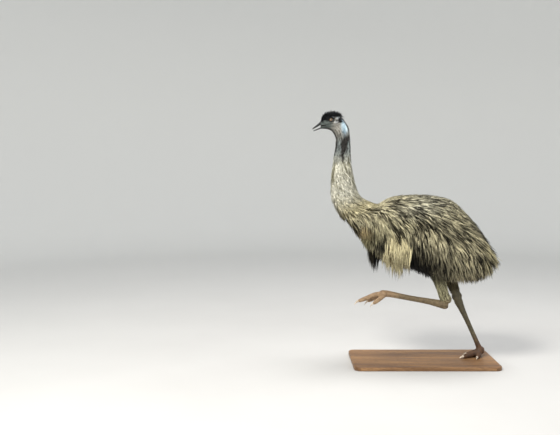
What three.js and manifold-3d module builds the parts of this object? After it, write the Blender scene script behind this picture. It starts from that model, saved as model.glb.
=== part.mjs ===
// A still, life-size emu in a running stride. It stands on its right foot, set down behind the body,
// and carries the left foot forward with the shank nearly level. A flat base keeps it from tipping.
// Millimetres, +Z up. The head points towards -Y and the bird's left side towards +X.
// The origin is the centre of the base's underside.
import * as THREE from 'three';
import { mergeVertices } from 'three/addons/utils/BufferGeometryUtils.js';
import Module from 'manifold-3d';

const wasm = await Module();
wasm.setup();

// Driving dimensions
const GAP = 0.3; // left between pieces that meet
const BASE = { length: 864, width: 460, thickness: 24, corner: 36, bevel: 3, cornerSteps: 2 };
const SOLE = BASE.thickness + GAP; // level of the flats under the standing foot

// The body from the bill's root to the tail's tip, out to the tips of the plumes. Each station has
// the back line's and the belly line's point in side view [y, z], the half width across, and how
// square its lower half is: 2 is round, more lets the plumes hang straight at the sides.
const STATIONS = {
  billRoot: { back: [-622, 1451], belly: [-622, 1408], half: 20, square: 2.2 },
  brow: { back: [-602, 1497], belly: [-590, 1407], half: 31, square: 2.1 },
  crown: { back: [-549, 1514], belly: [-560, 1396], half: 39, square: 2 },
  rearCrown: { back: [-496, 1496], belly: [-541, 1372], half: 36, square: 2 },
  nape: { back: [-459, 1428], belly: [-533, 1345], half: 33, square: 2 },
  throat: { back: [-444, 1336], belly: [-534, 1301], half: 32, square: 2 },
  midNeck: { back: [-438, 1235], belly: [-549, 1223], half: 39, square: 2 },
  lowNeck: { back: [-427, 1104], belly: [-565, 1086], half: 54, square: 2 },
  neckRoot: { back: [-394, 1017], belly: [-561, 984], half: 66, square: 2 },
  shoulder: { back: [-331, 977], belly: [-516, 882], half: 92, square: 2 },
  foreBreast: { back: [-271, 962], belly: [-456, 810], half: 128, square: 2 },
  breast: { back: [-199, 1002], belly: [-383, 725], half: 164, square: 2.1 },
  keel: { back: [-97, 1017], belly: [-304, 632], half: 193, square: 2.2 },
  belly: { back: [46, 1013], belly: [-141, 588], half: 220, square: 2.5 },
  rump: { back: [154, 985], belly: [16, 527], half: 226, square: 2.7 },
  hem: { back: [245, 911], belly: [161, 503], half: 212, square: 2.7 },
  tailRoot: { back: [337, 813], belly: [294, 511], half: 172, square: 2.6 },
  tailEnd: { back: [423, 698], belly: [402, 540], half: 100, square: 2.4 },
  tailTip: { back: [460, 620], belly: [460, 588], half: 24, square: 2 },
};
const STATION_NAMES = Object.keys(STATIONS);
const TOP_SQUARE = 2.05; // the back's half of every section

// How far the tips of the plumes wander along the hem and the sides: two waves over the body, whose
// phase grows with the place along the stations and with the angle round the section
const SHAG = {
  depth: 7,
  from: 10.5, // places where the wander begins and where it is full
  full: 13,
  onBack: 0.25, // share of it that is left on the back
  lowFrom: -0.5, // heights down the section between which it grows, from -1 on the back to 1 below
  lowFull: 0.9,
  waves: [
    { size: 1, perStation: 25.76, perRadian: 1.7 },
    { size: 0.6, perStation: 5.1, perRadian: 10 },
  ],
};

// Where the body is parted, as places along the stations, with the facets round and along it
const LENGTHS = [
  { node: 'head', from: 0, to: 4.15, sides: 24, rings: 10, finish: 'face' },
  { node: 'neck_upper', from: 4.15, to: 6.2, sides: 20, rings: 5, finish: 'neck' },
  { node: 'neck_lower', from: 6.2, to: 8.6, sides: 24, rings: 6, finish: 'neck' },
  { node: 'breast', from: 8.6, to: 11.6, sides: 26, rings: 6, finish: 'paleplume' },
  { node: 'trunk', from: 11.6, to: 15.6, sides: 28, rings: 10, finish: 'plume' },
  { node: 'tail', from: 15.6, to: 18, sides: 26, rings: 6, finish: 'plume' },
];

// The head's own parts, each given for the left side
const EYE = { at: [25, -561, 1461], radius: 14.5 };
const EAR = { at: [40, -512, 1459], radii: [9, 10, 13], steps: 8 };
const MOUTH = { corner: [-572, 1434], upperLip: [-626, 1430], lowerLip: [-626, 1417], cutWidth: 120 };
const BILL = { sides: 12, rings: 6, mouthSide: 0.55 }; // mouthSide is how flat each half is inside

// The bill's middle line, half width and half height from root to tip
const BILL_UPPER = [
  { y: -622 - GAP, z: 1440.5, half: 19.5, high: 11 },
  { y: -633, z: 1432.5, half: 16.5, high: 9.5 },
  { y: -646, z: 1423.5, half: 13, high: 7.5 },
  { y: -659, z: 1415, half: 10, high: 5.5 },
  { y: -668, z: 1409, half: 6.5, high: 3.6 },
  { y: -672, z: 1406, half: 2.5, high: 1.4 },
];
const BILL_LOWER = [
  { y: -622 - GAP, z: 1412.6, half: 17.5, high: 4.4 },
  { y: -636, z: 1407.4, half: 14, high: 3.8 },
  { y: -650, z: 1402, half: 10.5, high: 3.2 },
  { y: -660, z: 1398, half: 7.5, high: 2.6 },
  { y: -666, z: 1395.5, half: 3, high: 1.4 },
];
const NOSTRIL = { at: [13.5, -645, 1427], radii: [5, 8, 3.2], steps: 8 };

// Thighs: mounds of plume over the muscle, set into the trunk's sides
const THIGHS = {
  left: { centre: [118, 14, 696], radii: [125, 132, 172], lean: 0 },
  right: { centre: [-118, 92, 692], radii: [122, 134, 174], lean: -0.3 },
};
const THIGH_STEPS = 14; // facets round each mound
const BALL = { steps: 12, ringsPerStep: 0.7 }; // facets round and along other balls
const KNOT_SPREAD = 20; // sets the knots of a curve of sizes apart, so that like sizes don't coincide
const LIMB_RINGS = { shin: 7, shank: 9, toe: 4, claw: 3 };

// Legs, as paths of knots [x, y, z] with half width across and half depth fore and aft
const LEGS = {
  left: {
    shin: [
      { at: [116, 42, 598], half: 42, deep: 52 },
      { at: [107, 68, 540], half: 35, deep: 42 },
      { at: [99, 92, 474], half: 28, deep: 34 },
      { at: [95, 108, 422], half: 26, deep: 32 },
      { at: [94, 122, 394], half: 26, deep: 33 },
      { at: [93, 130, 376], half: 20, deep: 22 },
    ],
    shank: [
      { at: [93, 132, 366], half: 16, deep: 15 },
      { at: [93, 116, 365], half: 22, deep: 24 },
      { at: [93, 84, 372], half: 21, deep: 23 },
      { at: [92, 20, 386], half: 15, deep: 18.5 },
      { at: [91, -70, 402], half: 14, deep: 16 },
      { at: [89, -150, 417], half: 15, deep: 16.5 },
      { at: [88, -205, 428], half: 19, deep: 18 },
      { at: [88, -240, 433], half: 23, deep: 20 },
    ],
    across: [1, 0, 0],
    joint: { centre: [88, -252, 431], radii: [31, 27, 22] },
    toes: {
      middle: [
        { at: [88, -250, 430], half: 17, deep: 17 },
        { at: [86, -300, 424], half: 16, deep: 15 },
        { at: [84, -352, 404], half: 14, deep: 13 },
        { at: [83, -398, 387], half: 12, deep: 11 },
      ],
      inner: [
        { at: [76, -254, 426], half: 14, deep: 14 },
        { at: [62, -288, 408], half: 12.5, deep: 13 },
        { at: [55, -320, 391], half: 11, deep: 11.5 },
        { at: [52, -340, 381], half: 9.5, deep: 9.5 },
      ],
      outer: [
        { at: [100, -250, 424], half: 14, deep: 14 },
        { at: [114, -278, 404], half: 12.5, deep: 13 },
        { at: [120, -300, 388], half: 11, deep: 11.5 },
        { at: [122, -316, 379], half: 9.5, deep: 9.5 },
      ],
    },
    clawDrop: 14,
  },
  right: {
    shin: [
      { at: [-104, 138, 596], half: 42, deep: 52 },
      { at: [-88, 164, 540], half: 36, deep: 44 },
      { at: [-71, 190, 468], half: 29, deep: 35 },
      { at: [-65, 206, 424], half: 26, deep: 32 },
      { at: [-62, 217, 392], half: 26, deep: 33 },
      { at: [-60, 224, 370], half: 20, deep: 24 },
    ],
    shank: [
      { at: [-61, 220, 380], half: 21, deep: 23 },
      { at: [-60, 228, 360], half: 22, deep: 26 },
      { at: [-58, 243, 326], half: 18, deep: 21 },
      { at: [-56, 271, 265], half: 14, deep: 16 },
      { at: [-53, 308, 184], half: 13, deep: 14 },
      { at: [-50, 340, 112], half: 16, deep: 14.5 },
      { at: [-48, 354, 80], half: 20, deep: 16 },
    ],
    across: [1, 0.3, 0],
    joint: { centre: [-48, 361, 62], radii: [29, 27, 26] },
    toes: {
      middle: [
        { at: [-46, 358, 56], half: 18, deep: 20 },
        { at: [-24, 317, 45], half: 17, deep: 18 },
        { at: [-2, 275, 39], half: 15, deep: 15 },
        { at: [14, 244, 36], half: 12, deep: 11.5 },
      ],
      inner: [
        { at: [-40, 358, 54], half: 15, deep: 18 },
        { at: [-12, 345, 43], half: 14, deep: 16 },
        { at: [12, 334, 37.5], half: 12, deep: 13 },
        { at: [30, 326, 35], half: 9.5, deep: 10 },
      ],
      outer: [
        { at: [-54, 352, 54], half: 15, deep: 18 },
        { at: [-60, 322, 43], half: 14, deep: 16 },
        { at: [-61, 298, 37.5], half: 12, deep: 13 },
        { at: [-61, 278, 35], half: 9.5, deep: 10 },
      ],
    },
    clawDrop: 5,
  },
};

// Claws: each one's length, their facets round, and their size as shares of the toe's end
const CLAW = { middle: 28, inner: 22, outer: 20, sides: 8, start: 0.72, end: 0.14 };

// Columns of loose plume that hang clear of the body
const WING = [
  { at: [150, -176, 800], half: 30, deep: 34 },
  { at: [158, -172, 740], half: 34, deep: 48 },
  { at: [160, -168, 670], half: 34, deep: 54 },
  { at: [160, -166, 610], half: 30, deep: 53 },
  { at: [158, -166, 566], half: 23, deep: 40 },
  { at: [156, -170, 540], half: 11, deep: 17 },
];
const BREAST_TUFT = [
  { at: [0, -312, 700], half: 62, deep: 34 },
  { at: [0, -312, 640], half: 52, deep: 31 },
  { at: [0, -308, 590], half: 34, deep: 24 },
  { at: [0, -304, 554], half: 18, deep: 15 },
  { at: [0, -301, 534], half: 7, deep: 6 },
];

// Colours and surface of each material
const FINISHES = {
  face: { color: 0x5c6160, roughness: 0.85, metalness: 0 },
  neck: { color: 0xb4b098, roughness: 0.9, metalness: 0 },
  paleplume: { color: 0xa59f80, roughness: 0.9, metalness: 0 },
  plume: { color: 0x817c60, roughness: 0.9, metalness: 0 },
  darkplume: { color: 0x2b2a1f, roughness: 0.9, metalness: 0 },
  scaleskin: { color: 0x76684e, roughness: 0.7, metalness: 0 },
  horn: { color: 0x2c3a38, roughness: 0.45, metalness: 0 },
  claw: { color: 0xd6c9b3, roughness: 0.5, metalness: 0 },
  eyeball: { color: 0x6e4a1c, roughness: 0.1, metalness: 0 },
  board: { color: 0x8a6a48, roughness: 0.6, metalness: 0 },
};

// Makes a manifold solid of a closed three.js geometry.
function solid(geometry) {
  geometry.deleteAttribute('normal');
  geometry.deleteAttribute('uv');
  const merged = mergeVertices(geometry);
  return new wasm.Manifold(new wasm.Mesh({
    numProp: 3,
    vertProperties: new Float32Array(merged.attributes.position.array),
    triVerts: new Uint32Array(merged.index.array),
  }));
}

// Turns a manifold solid into a named mesh with its own material.
function piece(name, body, finish) {
  const { vertProperties, triVerts } = body.getMesh();
  const geometry = new THREE.BufferGeometry();
  geometry.setAttribute('position', new THREE.BufferAttribute(vertProperties, 3));
  geometry.setIndex(new THREE.BufferAttribute(triVerts, 1));
  geometry.computeVertexNormals();
  const mesh = new THREE.Mesh(geometry, new THREE.MeshStandardMaterial(FINISHES[finish]));
  mesh.name = name;
  return mesh;
}

// A capped cylinder whose points are carried to place(t, side, up): t runs from 0 to 1 along it,
// and side and up lie on the unit circle, or at 0 in the middle of a cap.
function loft(sides, rings, place) {
  const geometry = new THREE.CylinderGeometry(1, 1, 1, sides, rings);
  const points = geometry.attributes.position;
  for (let i = 0; i < points.count; i += 1) {
    const carried = place(points.getY(i) + 0.5, points.getX(i), points.getZ(i));
    points.setXYZ(i, carried.x, carried.y, carried.z);
  }
  return solid(geometry);
}

function vector(values) {
  return new THREE.Vector3(...values);
}

// A ball stretched to three radii and leaned forward or back.
function ellipsoid(centre, radii, steps = BALL.steps, lean = 0) {
  const geometry = new THREE.SphereGeometry(1, steps, Math.round(steps * BALL.ringsPerStep));
  geometry.scale(...radii);
  geometry.rotateX(lean);
  geometry.translate(...centre);
  return solid(geometry);
}

// The squared circle: a unit coordinate raised so that the section bulges towards its corners.
function squared(value, square) {
  return Math.sign(value) * Math.abs(value) ** (2 / square);
}

// Smooth lines through the stations
const stationList = STATION_NAMES.map((name) => STATIONS[name]);
const backLine = new THREE.CatmullRomCurve3(stationList.map((s) => vector([0, ...s.back])));
const bellyLine = new THREE.CatmullRomCurve3(stationList.map((s) => vector([0, ...s.belly])));
const girthLine = new THREE.CatmullRomCurve3(stationList.map((s) => vector([s.half, 0, 0])));
const squareLine = new THREE.CatmullRomCurve3(
  stationList.map((s, i) => vector([s.square, i * KNOT_SPREAD, 0])),
);

// The wander of the plume tips at a place on the body, strongest low on the sides.
function shag(place, side, up) {
  const strength = THREE.MathUtils.smoothstep(place, SHAG.from, SHAG.full);
  const low = THREE.MathUtils.smoothstep(-up, SHAG.lowFrom, SHAG.lowFull);
  const angle = Math.atan2(side, up);
  let wave = 0;
  for (const { size, perStation, perRadian } of SHAG.waves) {
    wave += size * Math.sin(place * perStation + angle * perRadian);
  }
  return SHAG.depth * strength * THREE.MathUtils.lerp(SHAG.onBack, 1, low) * wave;
}

// A point of the body's outer surface. The section's plane holds the chord from the belly line to
// the back line and the X axis. shift slides the plane along its own normal, grow swells it.
function bodyPoint(place, side, up, shift, grow) {
  const t = THREE.MathUtils.clamp(place / (stationList.length - 1), 0, 1);
  const back = backLine.getPoint(t);
  const belly = bellyLine.getPoint(t);
  const chord = back.clone().sub(belly);
  const upward = chord.clone().normalize();
  const onward = new THREE.Vector3(1, 0, 0).cross(upward).negate();
  const radial = Math.hypot(side, up);
  const wander = radial > 0 ? shag(place, side, up) : 0;
  const square = THREE.MathUtils.lerp(squareLine.getPoint(t).x, TOP_SQUARE, (1 + up) / 2);
  const half = girthLine.getPoint(t).x + grow + wander;
  const high = chord.length() / 2 + grow + wander;
  return belly.lerp(back, 0.5)
    .addScaledVector(onward, shift)
    .add(new THREE.Vector3(half * squared(side, square), 0, 0))
    .addScaledVector(upward, high * squared(up, square));
}

// One length of the body between two places along the stations.
function bodyLength({ from, to, sides, rings }, grow = 0) {
  const last = stationList.length - 1;
  const startShift = (from > 0 ? GAP / 2 : 0) - grow;
  const endShift = (to < last ? -GAP / 2 : 0) + grow;
  return loft(sides, rings, (t, side, up) => {
    const shift = t === 0 ? startShift : (t === 1 ? endShift : 0);
    return bodyPoint(THREE.MathUtils.lerp(from, to, t), side, up, shift, grow);
  });
}

// A limb along a smooth path of knots. across is the direction of its width, and no point of it
// sinks below floor.
function limb(knots, options = {}) {
  const { across = [1, 0, 0], sides = 10, rings = LIMB_RINGS.shin, grow = 0, floor = null } = options;
  const path = new THREE.CatmullRomCurve3(knots.map((k) => vector(k.at)));
  const sizes = new THREE.CatmullRomCurve3(
    knots.map((k, i) => new THREE.Vector3(k.half, k.deep, i * KNOT_SPREAD)),
  );
  return loft(sides, rings, (t, side, up) => {
    const ahead = path.getTangent(t);
    const width = vector(across).addScaledVector(ahead, -vector(across).dot(ahead)).normalize();
    const depth = width.clone().cross(ahead);
    const size = sizes.getPoint(t);
    const end = t === 0 ? -grow : (t === 1 ? grow : 0);
    const point = path.getPoint(t)
      .addScaledVector(ahead, end)
      .addScaledVector(width, side * (size.x + grow))
      .addScaledVector(depth, up * (size.y + grow));
    point.z = floor === null ? point.z : Math.max(point.z, floor);
    return point;
  });
}

// Half of the bill: rounded sections from root to tip, flat towards the mouth.
// ridge is 1 for the upper half, whose ridge is on top, and -1 for the lower one.
function billHalf(stations, ridge) {
  const middle = new THREE.CatmullRomCurve3(stations.map((s) => new THREE.Vector3(0, s.y, s.z)));
  const sizes = new THREE.CatmullRomCurve3(stations.map((s) => new THREE.Vector3(s.half, s.high, s.y)));
  return loft(BILL.sides, BILL.rings, (t, side, up) => {
    const size = sizes.getPoint(1 - t);
    const point = middle.getPoint(1 - t);
    const flat = up * ridge < 0 ? BILL.mouthSide : 1;
    point.x += side * size.x;
    point.z += up * size.y * flat;
    return point;
  });
}

// The wedge between the upper and the lower half of the open bill, cut into the face.
function mouthWedge() {
  const { corner, upperLip, lowerLip, cutWidth } = MOUTH;
  const outline = new THREE.Shape([corner, upperLip, lowerLip].map(([y, z]) => new THREE.Vector2(y, z)));
  const geometry = new THREE.ExtrudeGeometry(outline, { depth: cutWidth, bevelEnabled: false });
  geometry.rotateX(Math.PI / 2);
  geometry.rotateZ(Math.PI / 2);
  geometry.translate(-cutWidth / 2, 0, 0);
  return solid(geometry);
}

function mirrored(place, side) {
  return side === 'left' ? place : [-place[0], place[1], place[2]];
}

// One claw past the end of a toe, bending down by drop.
function claw(toe, length, drop) {
  const end = toe[toe.length - 1];
  const ahead = new THREE.CatmullRomCurve3(toe.map((k) => vector(k.at))).getTangent(1);
  const root = vector(end.at);
  const knots = [0, 0.5, 1].map((t) => {
    const size = THREE.MathUtils.lerp(CLAW.start, CLAW.end, t);
    const at = root.clone().addScaledVector(ahead, length * t);
    at.z -= drop * t * t;
    return { at: at.toArray(), half: end.half * size, deep: end.deep * size };
  });
  return limb(knots, { sides: CLAW.sides, rings: LIMB_RINGS.claw, floor: SOLE });
}

// A leg below the plumes, parted into shin, shank, foot, toes and claws. The thigh isn't in it. The
// grown shin is what other solids are cut back by.
function legPieces(side) {
  const leg = LEGS[side];
  const floor = side === 'right' ? SOLE : null;
  const { centre, radii } = leg.joint;
  const foot = ellipsoid(centre, radii);
  const grownJoint = ellipsoid(centre, radii.map((r) => r + GAP));
  const shin = limb(leg.shin, { across: leg.across });
  const grownShin = limb(leg.shin, { across: leg.across, grow: GAP });
  const shank = limb(leg.shank, { across: leg.across, rings: LIMB_RINGS.shank })
    .subtract(grownShin)
    .subtract(grownJoint);
  const pieces = { shin, shank, foot };
  const toeShape = { across: leg.across, rings: LIMB_RINGS.toe, floor };
  const toe = (name, grow) => limb(leg.toes[name], { ...toeShape, grow });
  for (const name of Object.keys(leg.toes)) {
    let body = toe(name, 0).subtract(grownJoint);
    if (name !== 'middle') {
      body = body.subtract(toe('middle', GAP));
    }
    pieces[`toe_${name}`] = body;
    pieces[`claw_${name}`] = claw(leg.toes[name], CLAW[name], leg.clawDrop).subtract(toe(name, GAP));
  }
  return { pieces, grownShin };
}

function standBase() {
  const { length, width, thickness, corner, bevel, cornerSteps } = BASE;
  const x = width / 2 - bevel;
  const y = length / 2 - bevel;
  const outline = new THREE.Shape();
  outline.moveTo(-x + corner, -y);
  outline.lineTo(x - corner, -y);
  outline.absarc(x - corner, -y + corner, corner, -Math.PI / 2, 0);
  outline.lineTo(x, y - corner);
  outline.absarc(x - corner, y - corner, corner, 0, Math.PI / 2);
  outline.lineTo(-x + corner, y);
  outline.absarc(-x + corner, y - corner, corner, Math.PI / 2, Math.PI);
  outline.lineTo(-x, -y + corner);
  outline.absarc(-x + corner, -y + corner, corner, Math.PI, 1.5 * Math.PI);
  const geometry = new THREE.ExtrudeGeometry(outline, {
    depth: thickness - 2 * bevel,
    bevelThickness: bevel,
    bevelSize: bevel,
    bevelSegments: 1,
    curveSegments: cornerSteps,
  });
  geometry.translate(0, 0, bevel);
  return solid(geometry);
}

const emu = new THREE.Group();
emu.name = 'emu';

// The legs come first, because the plumes part round them.
const shins = [];
for (const side of Object.keys(LEGS)) {
  const { pieces, grownShin } = legPieces(side);
  shins.push(grownShin);
  for (const [name, body] of Object.entries(pieces)) {
    const finish = name.startsWith('claw') ? 'claw' : 'scaleskin';
    emu.add(piece(`${name}_${side}`, body, finish));
  }
}

const grownThighs = [];
for (const [side, { centre, radii, lean }] of Object.entries(THIGHS)) {
  let thigh = ellipsoid(centre, radii, THIGH_STEPS, lean);
  grownThighs.push(ellipsoid(centre, radii.map((r) => r + GAP), THIGH_STEPS, lean));
  for (const shin of shins) {
    thigh = thigh.subtract(shin);
  }
  emu.add(piece(`thigh_${side}`, thigh, 'plume'));
}

const grownBody = [];
for (const length of LENGTHS) {
  let body = bodyLength(length);
  grownBody.push(bodyLength(length, GAP));
  if (length.node === 'head') {
    for (const side of ['left', 'right']) {
      body = body.subtract(ellipsoid(mirrored(EYE.at, side), Array(3).fill(EYE.radius + GAP)));
      body = body.subtract(ellipsoid(mirrored(EAR.at, side), EAR.radii, EAR.steps));
    }
    body = body.subtract(mouthWedge());
  }
  if (length.node === 'trunk') {
    for (const cutter of [...grownThighs, ...shins]) {
      body = body.subtract(cutter);
    }
  }
  emu.add(piece(length.node, body, length.finish));
}

for (const side of ['left', 'right']) {
  emu.add(piece(`eye_${side}`, ellipsoid(mirrored(EYE.at, side), Array(3).fill(EYE.radius)), 'eyeball'));
  let wing = limb(WING.map((k) => ({ ...k, at: mirrored(k.at, side) })));
  for (const cutter of [...grownBody, ...grownThighs]) {
    wing = wing.subtract(cutter);
  }
  emu.add(piece(`wing_${side}`, wing, 'paleplume'));
}

let tuft = limb(BREAST_TUFT);
for (const cutter of grownBody) {
  tuft = tuft.subtract(cutter);
}
emu.add(piece('breast_tuft', tuft, 'darkplume'));

let billUpper = billHalf(BILL_UPPER, 1);
for (const side of ['left', 'right']) {
  billUpper = billUpper.subtract(ellipsoid(mirrored(NOSTRIL.at, side), NOSTRIL.radii, NOSTRIL.steps));
}
emu.add(piece('bill_upper', billUpper, 'horn'));
emu.add(piece('bill_lower', billHalf(BILL_LOWER, -1), 'horn'));
emu.add(piece('stand_base', standBase(), 'board'));

export default emu;
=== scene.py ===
# A life-size emu in a running stride: one skin over the body and legs, horn, eyes and a coat of plumes.
# Sizes in the dictionaries are millimetres where they don't say metres. The bird's head points towards -Y
# and its left side to +X.
import math
import bpy
import numpy as np
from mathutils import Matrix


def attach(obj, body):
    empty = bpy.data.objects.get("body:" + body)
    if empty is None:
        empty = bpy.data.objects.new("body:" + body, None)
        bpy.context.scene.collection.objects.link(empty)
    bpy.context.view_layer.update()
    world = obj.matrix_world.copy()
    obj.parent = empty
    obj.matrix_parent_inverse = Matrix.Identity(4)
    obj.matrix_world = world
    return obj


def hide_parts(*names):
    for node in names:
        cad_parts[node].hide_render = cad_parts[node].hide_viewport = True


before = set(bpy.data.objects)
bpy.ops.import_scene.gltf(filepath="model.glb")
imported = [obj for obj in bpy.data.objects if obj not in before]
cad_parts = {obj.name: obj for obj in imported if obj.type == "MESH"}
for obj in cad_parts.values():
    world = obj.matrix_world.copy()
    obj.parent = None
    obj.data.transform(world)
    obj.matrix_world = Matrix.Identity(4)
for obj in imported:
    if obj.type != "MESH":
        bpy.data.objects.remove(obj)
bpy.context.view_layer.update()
mm = 0.001
draw = np.random.default_rng(4716)
sides = ((1, "left"), (-1, "right"))
print("frame loaded:", len(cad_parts), "nodes")

# the body's outline, station by station from the bill's root to the tail's tip: back line y z, belly line
# y z, half width and squareness of the lower half; then the coat's depth over the skin on top, at the side
# and below, and how far short of the outline the skin ends
bodyStations = {
    "billRoot": ((-622, 1451, -622, 1408, 20, 2.2), (1, 1, 1, 0)),
    "brow": ((-602, 1497, -590, 1407, 31, 2.1), (13, 1, 1, 0)),
    "crown": ((-549, 1514, -560, 1396, 39, 2.0), (17, 1.5, 2, 0)),
    "rearCrown": ((-496, 1496, -541, 1372, 36, 2.0), (19, 2, 3, 0)),
    "nape": ((-459, 1428, -533, 1345, 33, 2.0), (7, 4, 5, 0)),
    "throat": ((-444, 1336, -534, 1301, 32, 2.0), (9, 7, 7, 0)),
    "midNeck": ((-438, 1235, -549, 1223, 39, 2.0), (13, 11, 11, 0)),
    "lowNeck": ((-427, 1104, -565, 1086, 54, 2.0), (16, 17, 17, 0)),
    "neckRoot": ((-394, 1017, -561, 984, 66, 2.0), (19, 22, 24, 0)),
    "shoulder": ((-331, 977, -516, 882, 92, 2.0), (22, 27, 36, 0)),
    "foreBreast": ((-271, 962, -456, 810, 128, 2.0), (24, 33, 50, 0)),
    "breast": ((-199, 1002, -383, 725, 164, 2.1), (24, 38, 64, 0)),
    "keel": ((-97, 1017, -304, 632, 193, 2.2), (25, 41, 76, 0)),
    "belly": ((46, 1013, -141, 588, 220, 2.5), (26, 44, 92, 0)),
    "rump": ((154, 985, 16, 527, 226, 2.7), (27, 47, 98, 0)),
    "hem": ((245, 911, 161, 503, 212, 2.7), (30, 48, 94, 6)),
    "tailRoot": ((337, 813, 294, 511, 172, 2.6), (34, 48, 76, 26)),
    "tailEnd": ((423, 698, 402, 540, 100, 2.4), (36, 44, 48, 60)),
    "tailTip": ((460, 620, 460, 588, 24, 2.0), (10, 10, 10, 96)),
}
bodyShape = {
    "backSquare": 2.05,         # squareness of the upper half of every section
    "tailLift": 0.4,            # how far the skin's tail is raised for each mm that it ends short
    "thighRise": 26,            # how far the thighs stand out of the flanks
    "thighs": {1: (8, 694), -1: (88, 690)},   # y z of their middles, on the left and on the right
    "thighSize": (134, 172),
    "thighEdge": (0.5, 1.05),   # where the rise begins to fall and where it ends, as shares of the size
    "thighSides": (60, 160),    # distances from the middle plane over which the rise comes in
}


def splineAt(knots, t):
    # A curve through evenly spaced knots: between each two it is the cubic whose slope at a knot is half
    # the way from the knot before to the knot after.
    knots = np.asarray(knots, float)
    knots = np.vstack([2 * knots[0] - knots[1], knots, 2 * knots[-1] - knots[-2]])
    t = np.clip(np.asarray(t, float), 0, len(knots) - 3)
    i = np.minimum(t.astype(int), len(knots) - 4)
    u = (t - i)[..., None]
    a, b, c, d = knots[i], knots[i + 1], knots[i + 2], knots[i + 3]
    return b + 0.5 * u * ((c - a) + u * ((2 * a - 5 * b + 4 * c - d) + u * (3 * (b - c) + d - a)))


def smoothStep(low, high, value):
    # 0 below low, 1 above high, and 3s^2 - 2s^3 of the share s between them.
    s = np.clip((value - low) / (high - low), 0, 1)
    return s * s * (3 - 2 * s)


def fallStep(low, high, value):
    # 1 below low and 0 above high.
    return 1 - smoothStep(low, high, value)


def band(value, rise, fall):
    # 1 between a rise and a fall, each given as the two values that it runs between.
    return smoothStep(*rise, value) * fallStep(*fall, value)


def hump(value, at, width, height=1.0):
    # A soft swelling: height * exp(-((value - at) / width)^2).
    return height * np.exp(-((value - at) / width) ** 2)


def oval(points, y, z, sizeY, sizeZ):
    # How far out a point lies in an ellipse in side view: 0 in its middle and 1 on its rim.
    return np.hypot((points[..., 1] / mm - y) / sizeY, (points[..., 2] / mm - z) / sizeZ)


def unit(vectors):
    # Each vector divided by its length.
    return vectors / np.maximum(np.linalg.norm(vectors, axis=-1, keepdims=True), 1e-12)


def dot(a, b):
    # The sum of the products of x, y and z, kept as a column.
    return (a * b).sum(-1, keepdims=True)


def ringGrid(first, last, rows, columns):
    # A parameter from first to last over the rows, and an angle once round over the columns.
    t = np.linspace(first, last, rows)
    angle = np.linspace(0, 2 * math.pi, columns, endpoint=False)
    return np.meshgrid(t, angle, indexing="ij")


stationKnots, depthKnots = (np.array(knots, float) for knots in zip(*bodyStations.values()))
lastPlace = len(stationKnots) - 1


def bodySurface(place, angle, inset):
    # The point at a place along the stations and an angle from the back line round towards the left side.
    # A section is the superellipse |x/w|^n + |u/h|^n = 1 in the plane of the X axis and of the chord from
    # belly to back, with n going from the lower half's squareness to the upper's. inset 0 is the coat's
    # outline and 1 the skin. The thighs are low mounds that push the sides out.
    s = splineAt(stationKnots, place)
    d = splineAt(depthKnots, place) * inset
    back = s[..., 0:2]
    belly = s[..., 2:4]
    up = unit(back - belly)
    back = back - up * d[..., 0:1]
    belly = belly + up * d[..., 2:3]
    high = np.linalg.norm(back - belly, axis=-1) / 2
    half = s[..., 4] - d[..., 1]
    n = s[..., 5] + (bodyShape["backSquare"] - s[..., 5]) * (1 + np.cos(angle)) / 2
    r = (np.abs(np.cos(angle)) ** n + np.abs(np.sin(angle)) ** n) ** (-1 / n)
    x = half * r * np.sin(angle)
    yz = (back + belly) / 2 + up * (high * r * np.cos(angle))[..., None]
    y = yz[..., 0] - d[..., 3]
    z = yz[..., 1] + bodyShape["tailLift"] * d[..., 3]
    sizeY, sizeZ = bodyShape["thighSize"]
    for side, (middleY, middleZ) in bodyShape["thighs"].items():
        away = np.hypot((y - middleY) / sizeY, (z - middleZ) / sizeZ)
        mound = bodyShape["thighRise"] * fallStep(*bodyShape["thighEdge"], away)
        x = x + side * mound * smoothStep(*bodyShape["thighSides"], side * x)
    return np.stack([x, y, z], -1) * mm


# the head's relief: a form round the eye or the ear is where it is, how wide it is and its height, with
# the first two as shares of the opening between the lids or of the ear
eyeShape = {
    "at": (25, -561, 1461),     # middle of the left eyeball
    "radius": 14.5,
    "axis": (0.98, -0.19, 0.04),
    "openLong": 11.6,           # half the opening between the lids, along and across
    "openHigh": 9.4,
    "tilt": 0.2,                # the front corner of the lids sinks towards the bill
    "cornea": 1.1,
    "corneaEdge": 42,           # degrees from the axis
    "upperLid": 1.9,
    "lowerLid": 1.3,
    "lidFold": (1.5, 0.16, 1.2),
    "lidGroove": (1.3, 0.08, -0.8),
    "orbit": (0, 2.0, -2.2),
    "socket": (0.82, 1.02, 9.5),   # where the skin sinks behind the lids, and how far
}
earShape = {
    "at": (-512, 1458),
    "size": (5.5, 7.5),
    "hole": (0.5, 1.05, 6),
    "rim": (1.4, 0.3, 1.5),
}
mouthShape = {
    "corner": (-572, 1434),
    "lips": (-626, 1428.5, 1418),   # y of both lips in front, z of the upper and of the lower one
    "lipRim": (1.6, 1.3, 0.9),      # its place above the gap, width and height
    "depth": (0.3, 0.6),            # share by which the gap's sides are drawn in, and what is added in front
    "cavity": 40,
    "crease": (0, 1.8, -1.8),       # behind the corner: place, width and height
    "creaseRise": 0.16,             # how far it climbs for each mm that it runs back
    "creaseEnds": ((-6, 0), (14, 32)),
}
# swellings and hollows in side view: height, middle y z, half sizes along and across
headForms = {
    "brow": (2.6, -555, 1477, 20, 5.5),
    "browFront": (1.6, -588, 1463, 18, 5),
    "eyeHollow": (-2.6, -590, 1449, 13, 7),
    "cheek": (1.8, -548, 1424, 22, 10),
    "jawHollow": (-1.2, -522, 1436, 8, 22),
}


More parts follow.
